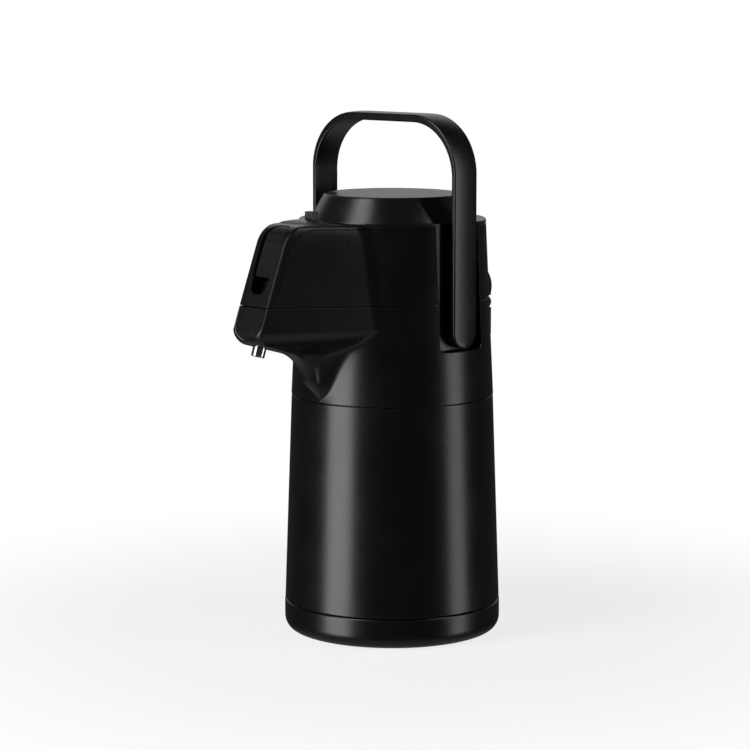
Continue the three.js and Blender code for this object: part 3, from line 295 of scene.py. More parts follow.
def toAxis(piece, origin, direction):
    turn = Vector((0, 0, 1)).rotation_difference(Vector(direction))
    piece.data.transform(Matrix.Translation(Vector(origin) * mm) @ turn.to_matrix().to_4x4())
    return piece


def toPivot(piece, reach, side):
    # to the pivot of the bail on one side, pointing outwards
    return toAxis(piece, (reach * side, boss["offset"], boss["pivot"]), (side, 0, 0))


def helix(radius, turns, count):
    # points round a coil as (cosine side, sine side, share of its length)
    return [(radius * cos(share * turns * tau), radius * sin(share * turns * tau), share)
            for share in spread(0, 1, turns * count)]


# ---- finishes
def hexColour(code):
    # sRGB hex to the linear colour that shaders take, with the constants of that standard
    parts = [int(code[i:i + 2], 16) / 255 for i in (1, 3, 5)]
    return [p / 12.92 if p <= 0.04045 else ((p + 0.055) / 1.055) ** 2.4 for p in parts] + [1.0]


def feed(tree, node, **links):
    # links are (node, output), to an input by its name or as i and its number
    for key, (source, output) in links.items():
        socket = node.inputs[int(key[1:]) if key[1:].isdigit() else key.replace("_", " ")]
        tree.links.new(source.outputs[output], socket)


def addNode(tree, kind, settings=None, **links):
    # values go to node fields or sockets by name
    node = tree.nodes.new("ShaderNode" + kind)
    for key, value in (settings or {}).items():
        if hasattr(node, key):
            setattr(node, key, value)
        else:
            node.inputs[key].default_value = value
    feed(tree, node, **links)
    return node


def setRamp(tone, *stops):
    for element, (place, code) in zip(tone.color_ramp.elements, stops):
        element.position = place
        element.color = hexColour(code)


def emptyTree(owner):
    owner.use_nodes = True
    owner.node_tree.nodes.clear()
    return owner.node_tree


def newFinish(name, settings):
    finish = bpy.data.materials.new(name)
    tree = emptyTree(finish)
    shader = addNode(tree, "BsdfPrincipled", settings)
    addNode(tree, "OutputMaterial", Surface=(shader, "BSDF"))
    return finish, tree, shader, addNode(tree, "TexCoord")


def mouldedFinish(name, plastic):
    # injection moulded: slow waves from the cooling wall, a fine skin, faint handling haze;
    # wave and skin are (size mm, depth mm, strength), haze is (size mm, change of roughness)
    finish, tree, shader, place = newFinish(name, {
        "IOR": plastic["ior"], "Specular IOR Level": plastic["specular"]})
    noise, normal = {}, {}
    for layer, detail, rough in (("wave", 2.0, 0.5), ("skin", 4.0, 0.5), ("haze", 5.0, 0.6)):
        noise[layer] = addNode(tree, "TexNoise", {
            "Scale": 1 / (plastic[layer][0] * mm), "Detail": detail, "Roughness": rough},
            Vector=(place, "Object"))
    low, high = about(plastic["roughness"], plastic["haze"][1])
    dull = addNode(tree, "MapRange", {"From Min": 0.35, "From Max": 0.7, "To Min": low, "To Max": high},
                   Value=(noise["haze"], "Fac"))
    tone = addNode(tree, "ValToRGB", Fac=(noise["haze"], "Fac"))
    setRamp(tone, (0.3, plastic["dark"]), (0.75, plastic["light"]))
    for layer in ("wave", "skin"):
        depth, strength = plastic[layer][1:]
        bump = addNode(tree, "Bump", {"Strength": strength, "Distance": depth * mm},
                       Height=(noise[layer], "Fac"), **normal)
        normal = {"Normal": (bump, "Normal")}
    feed(tree, shader, Base_Color=(tone, "Color"), Roughness=(dull, "Result"), **normal)
    return finish


# polypropylene off a polished mould: deep black, soft mirror
glossBlack = mouldedFinish("mouldedGlossPolypropylene", {
    "dark": "#070708", "light": "#0d0d0e", "ior": 1.49, "specular": 0.5, "roughness": 0.27,
    "haze": (38, 0.02), "wave": (45, 0.5, 0.05), "skin": (1.4, 0.02, 0.03)})
# the same off a fine spark eroded mould: greyer, no clear mirror
satinBlack = mouldedFinish("mouldedSatinPolypropylene", {
    "dark": "#0e0f10", "light": "#151617", "ior": 1.49, "specular": 0.5, "roughness": 0.28,
    "haze": (26, 0.03), "wave": (60, 0.4, 0.04), "skin": (0.9, 0.03, 0.12)})
# natural polypropylene, food grade: milky and waxy
naturalPlastic = mouldedFinish("mouldedNaturalPolypropylene", {
    "dark": "#d9d6cb", "light": "#e6e3da", "ior": 1.49, "specular": 0.5, "roughness": 0.42,
    "haze": (20, 0.04), "wave": (30, 0.3, 0.05), "skin": (1.2, 0.02, 0.08)})
# silicone rubber, compression moulded: matt and slightly dusty
siliconeRubber = mouldedFinish("mouldedSiliconeRubber", {
    "dark": "#232323", "light": "#2e2e2d", "ior": 1.43, "specular": 0.4, "roughness": 0.7,
    "haze": (9, 0.08), "wave": (12, 0.2, 0.1), "skin": (0.5, 0.03, 0.2)})


def turnedSteel(name, metal):
    # steel, turned or drawn: fine lines and a little blur
    finish, tree, shader, place = newFinish(name, {"Metallic": 1.0})
    stretch = addNode(tree, "Mapping", {"Scale": metal["stretch"]}, Vector=(place, "Object"))
    lines = addNode(tree, "TexNoise", {"Scale": 1 / (metal["lineSize"] * mm), "Detail": 3.0},
                    Vector=(stretch, "Vector"))
    tone = addNode(tree, "ValToRGB", Fac=(lines, "Fac"))
    setRamp(tone, (0.0, metal["dark"]), (1.0, metal["light"]))
    low, high = about(1, metal["blurSpread"])
    dull = addNode(tree, "MapRange", {
        "To Min": metal["roughness"] * low, "To Max": metal["roughness"] * high}, Value=(lines, "Fac"))
    ridge = addNode(tree, "Bump", {"Strength": 0.15, "Distance": metal["lineDepth"] * mm},
                    Height=(lines, "Fac"))
    feed(tree, shader, Base_Color=(tone, "Color"), Roughness=(dull, "Result"), Normal=(ridge, "Normal"))
    return finish


# stainless steel, turned and polished: clear mirror with rings round the axis
polishedSteel = turnedSteel("polishedStainlessSteel", {
    "dark": "#b9babd", "light": "#d6d7da", "roughness": 0.12, "blurSpread": 0.3,
    "lineSize": 0.6, "lineDepth": 0.01, "stretch": (0.3, 0.3, 3.0)})
# zinc plated steel: paler grey, blurred and even
zincSteel = turnedSteel("zincPlatedSteel", {
    "dark": "#9fa1a6", "light": "#bfc1c6", "roughness": 0.3, "blurSpread": 0.3,
    "lineSize": 0.5, "lineDepth": 0.01, "stretch": (1.0, 1.0, 1.0)})


def silveredFinish(name, glass):
    # blown borosilicate glass, silvered inside its double wall: mirror with faint mottling
    finish, tree, shader, place = newFinish(name, {"Metallic": 1.0, "Roughness": glass["roughness"]})
    mottle = addNode(tree, "TexNoise", {"Scale": 1 / (glass["mottleSize"] * mm), "Detail": 4.0},
                     Vector=(place, "Object"))
    tone = addNode(tree, "ValToRGB", Fac=(mottle, "Fac"))
    setRamp(tone, (0.0, glass["dark"]), (1.0, glass["light"]))
    feed(tree, shader, Base_Color=(tone, "Color"))
    return finish


mirrorGlass = silveredFinish("silveredBorosilicateGlass", {
    "dark": "#c3c5c4", "light": "#e2e4e3", "roughness": 0.06, "mottleSize": 24})
print("finishes made")

# ---- sizes that the shells share
wall, seam, clearance, rimEdge, topEdge = 2.2, 0.6, 0.3, 0.45, 1.1
headTop, topRadius, headSeam = 320.5, 71.9, 260.4
shoulderBottom, shoulderRadius, bodyTopRadius = 184.1, 78.3, 78.1
baseHeight, baseRadius = 23.4, 83.7
# rows of three hold at the neck, the keel and the face of the nose
nose = {"reach": 145.3, "lean": radians(21), "underside": radians(14), "root": 74.0,
        "pitch": 0.042, "topArc": 22.0, "tipArc": 8.0,
        "crown": 3.6, "crownStart": 66.0, "crownFull": 84.0, "crownGap": 1.0,
        "halves": (5.5, 9.5, 17.0), "edges": (5.3, 7.0, 2.6), "flares": (0, 14, 18),
        "fillets": (5.0, 24.0, 20.0), "leastEdge": 0.8, "flat": 0.8,
        "neckReach": 92.0, "neckLevel": 196.0, "neckSweep": 30.0, "neckFade": 204.0, "neckFoot": 185.4}
steps = {"corner": 10, "fillet": 12, "nearShell": 8, "farShell": 44, "inset": 12, "rim": 4, "topRim": 6,
         "crown": 8, "neck": 14, "sweep": 18, "keel": 8, "tip": 12, "face": 6, "head": 10, "top": 16}
shellTurn = radians(-40)  # where the shell's own points grow wider apart
leastRing = 0.05  # rings keep this far from a rim
recess = {"floor": 67.4, "half": 22.5, "bottom": 224.0, "corner": 5.0, "leastCorner": 0.4, "past": 40.0,
          "outside": 92.0, "outsideGrow": 8.5, "cornerSteps": 6, "acrossSteps": 12, "riseSteps": 30,
          "floorRings": (-21.5, -14, -7), "floorEdge": ((0, -1.2), (0.35, -0.35), (1.2, 0)),
          "mouthEdge": ((-0.7, 0), (-0.2, 0.15), (0.02, 0.5))}


def coneRadius(level):
    share = (level - shoulderBottom) / (headTop - shoulderBottom)
    return lerp(shoulderRadius, topRadius, share)


def bodyRadius(level):
    share = (level - baseHeight) / (shoulderBottom - baseHeight)
    return lerp(baseRadius, bodyTopRadius, share)


def climb(reach, level):
    # the nose's lines rise a little towards its tip
    return (nose["pitch"] * shareOf(level, nose["neckLevel"], headSeam)
            * max(0, reach - nose["root"]))


def frontLine(level):
    return nose["reach"] - (level - headSeam) * tan(nose["lean"])


def noseMarks():
    # where the arcs of the nose's side view meet its straight lines
    under, lean, tipArc, topArc = nose["underside"], nose["lean"], nose["tipArc"], nose["topArc"]
    sweepReach = nose["neckReach"] + nose["neckSweep"] * (1 - cos(quarter - under))
    sweepLevel = nose["neckLevel"] + nose["neckSweep"] * sin(quarter - under)
    rise, back = tan(under), tan(lean)
    reach = nose["reach"] + back * (headSeam - sweepLevel + rise * sweepReach)
    reach /= 1 + back * rise
    level = sweepLevel + (reach - sweepReach) * rise
    leg = tipArc * tan((quarter + lean - under) / 2)
    tipStart, topLevel = level - leg * sin(under), headTop - topArc
    tipReach = reach - leg * cos(under) - tipArc * sin(under)
    topReach = frontLine(headTop) - topArc * tan((quarter - lean) / 2)
    return (sweepReach, sweepLevel, tipReach, tipStart, tipStart + tipArc * cos(under),
            level + leg * cos(lean), topReach, topLevel, topLevel + topArc * sin(lean))


sweepReach, sweepLevel, tipReach, tipStart, tipLevel, tipEnd, topReach, topLevel, topStart = noseMarks()
noseHalf = nose["halves"][2]


def noseFront(level):
    # reach of the nose's side view
    if level > topStart:
        up = min(level - topLevel, nose["topArc"])
        return topReach + sqrt(nose["topArc"] ** 2 - up ** 2)
    if level > tipEnd:
        return frontLine(level)
    if level > tipStart:
        return tipReach + sqrt(max(0, nose["tipArc"] ** 2 - (level - tipLevel) ** 2))
    if level > sweepLevel:
        return sweepReach + (level - sweepLevel) / tan(nose["underside"])
    foot, fade, sweep = nose["neckFoot"], nose["neckFade"], nose["neckSweep"]
    if level > fade:
        leg = sqrt(max(0, sweep ** 2 - (level - nose["neckLevel"]) ** 2))
        return nose["neckReach"] + sweep - leg
    # the sweep runs out softly into the shell
    rise = fade - nose["neckLevel"]
    leg = sqrt(sweep ** 2 - rise ** 2)
    bulge = nose["neckReach"] + sweep - leg - coneRadius(fade)
    share = shareOf(level, foot, fade)
    slope = (fade - foot) * rise / leg * (share ** 3 - share ** 2)
    return coneRadius(level) + bulge * smoothStep(level, foot, fade) + slope


def planOutline(radius, front, half, corner, flare, fillet, bevel):
    # plan of shell and nose: framed corner, straight wall, hollow fillet, round shell
    centre = Vector((half - corner, corner - front))
    wall = Vector((sin(flare), cos(flare)))
    off = Vector((cos(flare), -sin(flare)))
    start = centre + off * (corner + fillet)
    along = -start.dot(wall)
    reach = sqrt(max(0, along ** 2 - start.length_squared + (radius + fillet) ** 2))
    hollow, touch = start + wall * (along - reach), -flare
    if along < reach:
        # no straight wall is left, so corner and fillet touch
        gap = centre.length
        share = ((corner + fillet) ** 2 - (radius + fillet) ** 2 + gap ** 2) / (2 * gap)
        side = sqrt(max(0, (corner + fillet) ** 2 - share ** 2))
        inward = -centre / gap
        across = Vector((-inward.y, inward.x))
        if across.x < 0:
            across = -across
        hollow = centre + inward * share + across * side
        touch = atan2(hollow.y - centre.y, hollow.x - centre.x)
    rounded = [Vector(p) for p in arc(*centre, corner, -quarter, touch, steps["corner"])]
    # a flat bevel with a soft crease at each side
    right = [tuple(point.lerp(rounded[0].lerp(rounded[-1], i / steps["corner"]), bevel * nose["flat"]))
             for i, point in enumerate(rounded)]
    meet = atan2(hollow.y, hollow.x)
    right += arc(*hollow, fillet, touch + pi, meet + pi, steps["fillet"])
    right += arc(0, 0, radius, meet, shellTurn, steps["nearShell"])[1:]
    right += arc(0, 0, radius, shellTurn, quarter, steps["farShell"])[1:]
    return bothSides(right, 1)


def noseRing(level, inset=0.0, edge=0.0):
    # inset moves the whole shell inwards, edge only rounds a rim
    toKeel = softRamp(level, nose["neckFoot"], sweepLevel)
    toFace = softRamp(level, sweepLevel, tipEnd)

    def blend(row):
        neck, keel, face = nose[row]
        return lerp(lerp(neck, keel, toKeel), face, toFace)

    take = inset + edge
    front = noseFront(level)
    if inset:
        front = min(noseFront(level + inset * sin(a)) - inset * cos(a)
                    for a in spread(-quarter, quarter, steps["inset"]))
    radius = coneRadius(level) - take
    plan = planOutline(radius, max(front - edge, radius), blend("halves") - take,
                       max(blend("edges") - take, nose["leastEdge"]), radians(blend("flares")),
                       blend("fillets") + take, toFace)
    return [(x, y, level + climb(-y, level)) for x, y in plan]


def rimRings(level, size, way, count):
    # the rounded rim of a shell, way 1 at its top and -1 at its foot, always from below
    rings = [noseRing(level - way * size * (1 - sin(a)), 0, size * (1 - cos(a)))
             for a in spread(0, quarter, count)]
    return rings[::way]


def crownRings(level, start):
    # the top of the nose swells between its walls, the rest of the deck stays flat
    rings = []
    for take in spread(start, noseHalf - nose["crownGap"], steps["crown"])[1:]:
        rise = nose["crown"] * (1 - (1 - take / noseHalf) ** 2)
        rings.append([(x, y, z + rise * smoothStep(-y, nose["crownStart"], nose["crownFull"]))
                      for x, y, z in noseRing(level, 0, take)])
    return rings


def shellForm(name, low, high, levels, inset, topRim, count):
    # an outer form with its rims, or with an inset the room inside it
    lowRim, highRim = (0, 0) if inset else (rimEdge, topRim)
    levels = [v for v in sorted({round(v, 4) for v in levels})
              if low + lowRim + leastRing < v < high - highRim - leastRing]
    rings = [noseRing(v, inset) for v in levels]
    if inset:
        return loft("room", [noseRing(low, inset)] + rings + [noseRing(high, inset)])
    rings = rimRings(low, lowRim, -1, steps["rim"]) + rings + rimRings(high, highRim, 1, count)
    return loft(name, rings + (crownRings(high, highRim) if high == headTop else []))


def shoulderForm(low, high, inset=0.0):
    fine = 2 if inset else 1
    level, sweep = nose["neckLevel"], nose["neckSweep"]
    start = asin((nose["neckFade"] - level) / sweep)
    levels = spread(nose["neckFoot"], nose["neckFade"], steps["neck"] // fine)
    levels += [level + sweep * sin(a)
               for a in spread(start, quarter - nose["underside"], steps["sweep"] // fine)]
    levels += spread(sweepLevel, tipStart, steps["keel"] // fine)
    levels += [tipLevel + nose["tipArc"] * sin(a)
               for a in spread(nose["underside"] - quarter, nose["lean"], steps["tip"] // fine)]
    levels += spread(tipEnd, high, steps["face"])
    return shellForm("shoulderShell", low, high, levels, inset, rimEdge, steps["rim"])


def headForm(low, high, inset=0.0):
    levels = spread(low, topStart, steps["head"])
    levels += [topLevel + nose["topArc"] * sin(a)
               for a in spread(nose["lean"], quarter, steps["top"])]
    return shellForm("headShell", low, high, levels, inset, topEdge, steps["topRim"])


def recessForm(grow):
    # the pocket for one arm of the bail, with a curved floor and a softly broken mouth
    floor = recess["floor"] - grow

    def station(radial, out, plane=0):
        half, corner = recess["half"] + out, max(recess["corner"] + out, recess["leastCorner"])
        level, ceiling = recess["bottom"] - out + corner, headTop + recess["past"] + out
        count, rungs = recess["acrossSteps"], recess["riseSteps"]
        left = arc(corner - half, level, corner, pi, 3 * quarter, recess["cornerSteps"])
        right = arc(half - corner, level, corner, 3 * quarter, tau, recess["cornerSteps"])
        bottom = [(v, level - corner) for v in spread(left[-1][0], right[0][0], count)[1:-1]]
        rise = [(half, v) for v in spread(level, ceiling, rungs)[1:]]
        across = [(v, ceiling) for v in spread(half, -half, count)[1:-1]]
        fall = [(-half, v) for v in spread(ceiling, level, rungs)[:-1]]
        return [(plane or sqrt(radial(min(z, headTop)) ** 2 - y ** 2), y, z)
                for y, z in left + bottom + right + rise + across + fall]

    rings = [station(lambda z: floor, out) for out in recess["floorRings"]]
    rings += [station(lambda z: floor + up, grow + out) for up, out in recess["floorEdge"]]
    if not grow:
        rings += [station(lambda z: coneRadius(z) + up, out) for up, out in recess["mouthEdge"]]
    rings.append(station(coneRadius, grow or recess["outsideGrow"], recess["outside"]))
    return loft("recess", rings)


def cutRecesses(piece, grow=0.0):
    right = recessForm(grow)
    left = mirrored(right, "otherSide")
    return cut(piece, right, left)


def hollowShell(form, low, high, roomLow, roomHigh):
    room = cutRecesses(form(roomLow, roomHigh, wall), wall)
    return cutRecesses(cut(form(low, high), room))


# ---- the slanted front face, measured up from the seam and in from the surface
foot = Vector((0, -nose["reach"], headSeam + climb(nose["reach"], headSeam)))
headReach = noseFront(topStart)
headLevel = topStart + climb(headReach, topStart)
faceLean = atan2(nose["reach"] - headReach, headLevel - foot.z)
faceUp = Vector((0, sin(faceLean), cos(faceLean)))
faceOut = Vector((0, -cos(faceLean), sin(faceLean)))
faceLength = hypot(nose["reach"] - headReach, headLevel - foot.z)
lever = {"half": 9.6, "bottom": 23.5, "top": 65.0, "low": 2.0, "high": 7.0, "rungs": 24, "sink": 1.2,
         "thick": 3.0, "gap": 0.7, "window": 14.8, "dish": 0.7, "dishTop": 54.5, "dishRise": 1.4,
         "pinUp": 52.0, "pinDepth": 8.0, "pinRadius": 1.2, "hub": 3.4, "web": 2.0, "tailOffset": 11.0,
         "tail": 2.4, "tailHalf": 6.0, "tailBottom": 257.7, "tooth": 1.6, "tailEdge": 0.5,
         "inward": 9.2, "inwardStep": 0.55, "inwardSteps": 16,
         "brim": ((-0.8, 0), (-0.5, 0.02), (-0.2, 0.16), (-0.04, 0.4), (0, 0.8))}
well = {"half": 8.0, "bottom": 9.8, "top": 28.0, "low": 6.5, "high": 0.6, "rungs": 6, "depth": 10.0,
        "wall": 1.6, "mouth": 1.2, "inner": 3.0, "centre": 6.5}
faceLimit = 0.98  # how much of the top corner's arc a panel may follow
leastCorner = 0.2  # smallest corner of a shrunken panel
brokenEdge = ((0.8, 0), (0.25, 0.08), (-0.03, 0.4))  # cut edge as (depth, growth)
cutterOut, cutterGrow = 9.0, 4.0  # the cutter's outer end


def onFace(x, up, inward):
    return tuple(foot + Vector((x, 0, 0)) + faceUp * up - faceOut * inward)


def faceDrop(up):
    # how far the rounded top corner falls away behind the slanted plane
    arcSize = nose["topArc"]
    past = min(max(up - faceLength, 0), arcSize * faceLimit)
    return arcSize - sqrt(arcSize ** 2 - past ** 2)


def panel(size, grow):
    # outline of a panel on the face as (x, up), the same points for every growth
    half, bottom, top = size["half"] + grow, size["bottom"] - grow, size["top"] + grow
    low, high = [max(size[corner] + grow, leastCorner) for corner in ("low", "high")]
    right = arc(half - low, bottom + low, low, -quarter, 0, 5)
    right += [(half, v) for v in spread(bottom + low, top - high, size["rungs"])[1:-1]]
    right += arc(half - high, top - high, high, 0, quarter, 10)
    across = [(x, top) for x in spread(half - high, high - half, 6)[1:-1]]
    under = [(x, bottom) for x in spread(low - half, half - low, 6)[1:-1]]
    return right + across + [(-x, v) for x, v in right[::-1]] + under


def faceRing(size, grow, inward, follow=True):
    # a panel's outline sunk into the face, flat or following its rounded top
    return [onFace(x, up, inward + (faceDrop(up) if follow else 0)) for x, up in panel(size, grow)]


def faceCutter(size, deep, gap):
    # a cutter that follows the face and breaks its own edge
    rings = [faceRing(size, gap, deep, False)]
    rings += [faceRing(size, gap + more, inward) for inward, more in brokenEdge]
    return loft("faceCutter", rings + [faceRing(size, gap + cutterGrow, -cutterOut, False)])


pinAt = Vector(onFace(0, lever["pinUp"], lever["pinDepth"]))

# ---- shoulder, with its deck, spigot, bosses for the bail and catch bar for the lever
deck = {"level": 247.0, "thick": 2.6, "throat": 34.0, "lap": 0.2, "spigot": 7.0, "spigotRise": 1.6}
boss = {"radius": 12.0, "bore": 5.3, "pivot": 238.0, "offset": 0.5, "start": 64.9, "end": 72.7}
lip = {"low": 256.0, "high": 261.8, "outer": 2.3, "inner": 3.1}
catch = {"half": 22.0, "near": 14.7, "far": 18.7, "low": 257.8, "high": 261.4, "edge": 0.4}
groove = {"inset": 2.2, "radius": 13.0, "drop": 3.5, "rise": 1.5, "out": 0.06, "wire": 0.65}
nozzle = {"reach": 135.3, "level": 243.5, "tilt": radians(19), "length": 18.4, "radius": 5.1,
          "bore": 4.4, "holeUp": 4.0, "holeDown": 12.0}
nozzleAxis = Vector((0, -sin(nozzle["tilt"]), -cos(nozzle["tilt"])))
nozzleTop = Vector((0, -nozzle["reach"], nozzle["level"]))


def cutGroove(piece):
    # fine line round the lower half of the front face, inside its rounded edge
    half, radius = noseHalf - groove["inset"], groove["radius"]
    low = tipLevel - groove["drop"] + radius
    path = [(half, v) for v in spread(headSeam + groove["rise"], low, 14)]
    path += arc(half - radius, low, radius, 0, -quarter, 10)[1:]
    points = []
    for x, level in bothSides(path):
        reach = noseFront(level)
        points.append((x, -reach - groove["out"], level + climb(reach, level)))
    return cut(piece, tube("groove", points, groove["wire"], sides["line"]))


def makeShoulder():
    bottom, low = shoulderBottom, shoulderBottom + seam
    piece = hollowShell(shoulderForm, low, headSeam - seam / 2, low - 4, headSeam + 6)
    ends = nozzleTop - nozzleAxis * nozzle["holeUp"], nozzleTop + nozzleAxis * nozzle["holeDown"]
    cut(piece, tube("nozzleHole", ends, nozzle["radius"] + clearance, sides["pin"]))
    cutGroove(piece)
    inside, top = coneRadius(deck["level"]) - wall + deck["lap"], deck["level"] + deck["thick"]
    floor = lathe("deck", [
        (deck["throat"], deck["level"], 0.5), (inside, deck["level"], 0), (inside, top, 0),
        (deck["throat"], top, 0.8)], sides["deck"])
    cutRecesses(floor, wall / 2)
    outer = bodyRadius(bottom) - wall - clearance
    spigotLow, spigotTop = bottom - deck["spigot"], low + deck["spigotRise"]
    spigot = lathe("spigot", [
        (outer - wall, spigotLow, 0.4), (outer, spigotLow, 0.4), (outer, spigotTop, 0),
        (outer - wall, spigotTop, 0)], sides["deck"])
    bosses = []
    for side in (1, -1):
        length = boss["end"] - boss["start"]
        ring = lathe("boss", [
            (boss["bore"], 0, 0), (boss["radius"], 0, 0), (boss["radius"], length, 1.4),
            (boss["bore"], length, 0.3)], sides["boss"])
        bosses.append(toPivot(ring, boss["start"], side))
    # a low lip behind the head seam keeps light out
    corners = [(lip["low"], lip["outer"]), (lip["high"], lip["outer"]),
               (lip["high"], lip["inner"]), (lip["low"], lip["inner"])]
    tongue = loft("seamLip", [noseRing(level, inset) for level, inset in corners], closed=True)
    cutRecesses(tongue, wall)
    rail = bar("catch", about(0, catch["half"]), (pinAt.y + catch["near"], pinAt.y + catch["far"]),
               (catch["low"], catch["high"]), catch["edge"])
    gather(piece, floor, spigot, tongue, rail, *bosses)
    dress(piece, glossBlack, "pot", "black_plastic", "shoulder")


makeShoulder()
print("shoulder made")

# ---- head shell
head = {"deck": 2.6, "hole": 63.8, "sleeve": 1.8, "sleeveDepth": 19.5, "sleeveTop": 1.5,
        "holeLow": 300.0, "holeHigh": 330.0, "holeEdge": 0.6,
        "slotPlace": 86.0, "slotHalf": 1.8, "slotReach": 4.8, "slotLow": 310.0, "slotHigh": 332.0,
        "lineDrop": 3.0, "lineBack": 5.4, "line": 0.6, "lineBend": 16.0, "lineRise": 1.2}
pad = {"front": 101.0, "back": 91.5, "half": 8.5, "rise": 1.1, "corner": 2.5, "edge": 0.5, "root": 0.6}


def wallPoint(reach, level):
    # the point of the nose wall or shell at that reach and level, on the right side
    ring = noseRing(level)
    ring = ring[:len(ring) // 2 + 1]
    for one, two in zip(ring, ring[1:]):
        if one[1] <= -reach <= two[1]:
            return tuple(Vector(one).lerp(Vector(two), (-reach - one[1]) / max(two[1] - one[1], 0.0001)))
    return ring[0]


def rimLine(piece):
    # fine line on the nose walls, beside the front face and under the top
    back, reachOf = head["lineBack"], head["lineBend"]
    level = headTop - head["lineDrop"]
    corner = (frontLine(level) - back, level)
    lowEnd = (frontLine(level - reachOf) - back, level - reachOf)
    highEnd = (corner[0] - reachOf, level)
    side = [(noseFront(v) - back, v)
            for v in spread(headSeam + head["lineRise"], topStart - 2, 12)]
    side = [p for p in side if p[1] < lowEnd[1] - 1] + bend(lowEnd, corner, highEnd, 10)
    right = [wallPoint(*p) for p in side]
    ring = noseRing(level)
    right += [p for p in ring[:len(ring) // 2 + 1] if p[1] > -highEnd[0] + 1]
    return cut(piece, tube("rimLine", bothSides(right, 1), head["line"], sides["line"]))


def padForm():
    # low landing in front of the lock knob
    rings = []
    rise, edge = pad["rise"], pad["edge"]
    for up, take in ((-pad["root"], 0), (rise - edge, 0), (rise - edge * breakShare, edge * breakShare),
                     (rise, edge)):
        half, corner, front = pad["half"] - take, pad["corner"] - take, pad["front"] - take
        plan = arc(half - corner, corner - front, corner, -quarter, 0, 6) + [(half, -pad["back"] - take)]
        rings.append([(x, y, headTop + climb(-y, headTop) + up) for x, y in bothSides(plan)])
    return loft("pad", rings)


def makeHead():
    low, top, hole = headSeam + seam / 2, headTop, head["hole"]
    piece = hollowShell(headForm, low, top, low - 6, top - head["deck"])
    edge, cutLow, cutHigh = head["holeEdge"], head["holeLow"], head["holeHigh"]
    cut(piece, revolve("buttonHole", [
        (0, cutLow), (hole, cutLow), (hole, top - edge), (hole + edge / 3, top - edge / 3),
        (hole + edge, top + 0.02), (hole + 4, cutHigh), (0, cutHigh)], sides["head"]))
    rimLine(piece)
    cut(piece, faceCutter(lever, lever["window"], lever["gap"]), faceCutter(well, well["depth"], 0),
        bar("slot", about(0, head["slotReach"]), about(-head["slotPlace"], head["slotHalf"]),
            (head["slotLow"], head["slotHigh"]), 0.4))
    sleeveLow, sleeveTop = top - head["sleeveDepth"], top - head["sleeveTop"]
    sleeve = lathe("sleeve", [
        (hole, sleeveLow, 0.5), (hole + head["sleeve"], sleeveLow, 0.5),
        (hole + head["sleeve"], sleeveTop, 0), (hole, sleeveTop, 0)], sides["head"])
    deep, wall, centre = well["depth"], well["wall"], -well["centre"]
    cup = loft("wellCup", [faceRing(well, grow, inward, False) for inward, grow in (
        (well["mouth"], 0), (deep, 0), (deep, -well["inner"]), (deep, centre), (deep + wall, centre),
        (deep + wall, 0), (deep, wall), (well["mouth"], wall))], closed=True)
    cut(cup, faceCutter(lever, lever["window"], lever["gap"]))
    gather(piece, sleeve, cup, padForm())
    dress(piece, glossBlack, "pump_head", "black_plastic", "head_shell")


makeHead()
print("head made")


# ---- release lever: dished flap, hub, tail with its catch tooth
def makeLever():
    def row(grow, inward):
        # a plain pull face with a raised lip at its top
        rise, level = lever["dishRise"], lever["dishTop"]
        return [onFace(x, up, faceDrop(up) + lever["sink"] + inward
                       + lever["dish"] * (1 - smoothStep(up, level, level + rise)))
                for x, up in panel(lever, grow)]

    rings = [row(lever["inwardStep"] * i - lever["inward"], 0) for i in range(lever["inwardSteps"])]
    rings += [row(*edge) for edge in lever["brim"]]
    rings += [faceRing(lever, grow, lever["sink"] + lever["thick"])
              for grow in (0, -3, -6, -lever["inward"])]
    flap = loft("releaseLever", rings)
    ends = [pinAt + Vector((x, 0, 0)) for x in about(0, lever["tailHalf"])]
    hub = tube("hub", ends, lever["hub"], 24)
    front = pinAt.y + lever["tailOffset"] - lever["tail"] / 2
    back, end = front + lever["tail"], lever["tailBottom"]
    knee = pinAt.z - lever["tailOffset"] / 2
    low, high = [onFace(0, up, lever["sink"] + lever["web"])[1:]
                 for up in about(lever["pinUp"], lever["hub"])]
    profile = [low, (pinAt.y, pinAt.z - lever["tail"]), (front, knee - lever["tail"]), (front, end),
               (back + lever["tooth"], end), (back, end + lever["tooth"] * 2), (back, knee),
               (pinAt.y + lever["hub"] / 2, pinAt.z + lever["tail"]), high]
    profile = softProfile([(*point, lever["tailEdge"]) for point in profile], True, 3)
    tail = loft("tail", [[(x, *point) for point in profile] for x in about(0, lever["tailHalf"])])
    gather(flap, hub, tail)
    dress(flap, satinBlack, "lever", "black_plastic", "release_lever")


makeLever()

# ---- lathe pieces
base = {"radius": 84.0, "foot": 76.5, "rise": 9.6, "lip": 1.1, "floor": 5.0, "grooveIn": 60.0,
        "grooveOut": 68.0, "grooveDeep": 3.0, "plug": 26.3, "plugWall": 4.0, "plugHeight": 13.0,
        "spigot": 7.0}


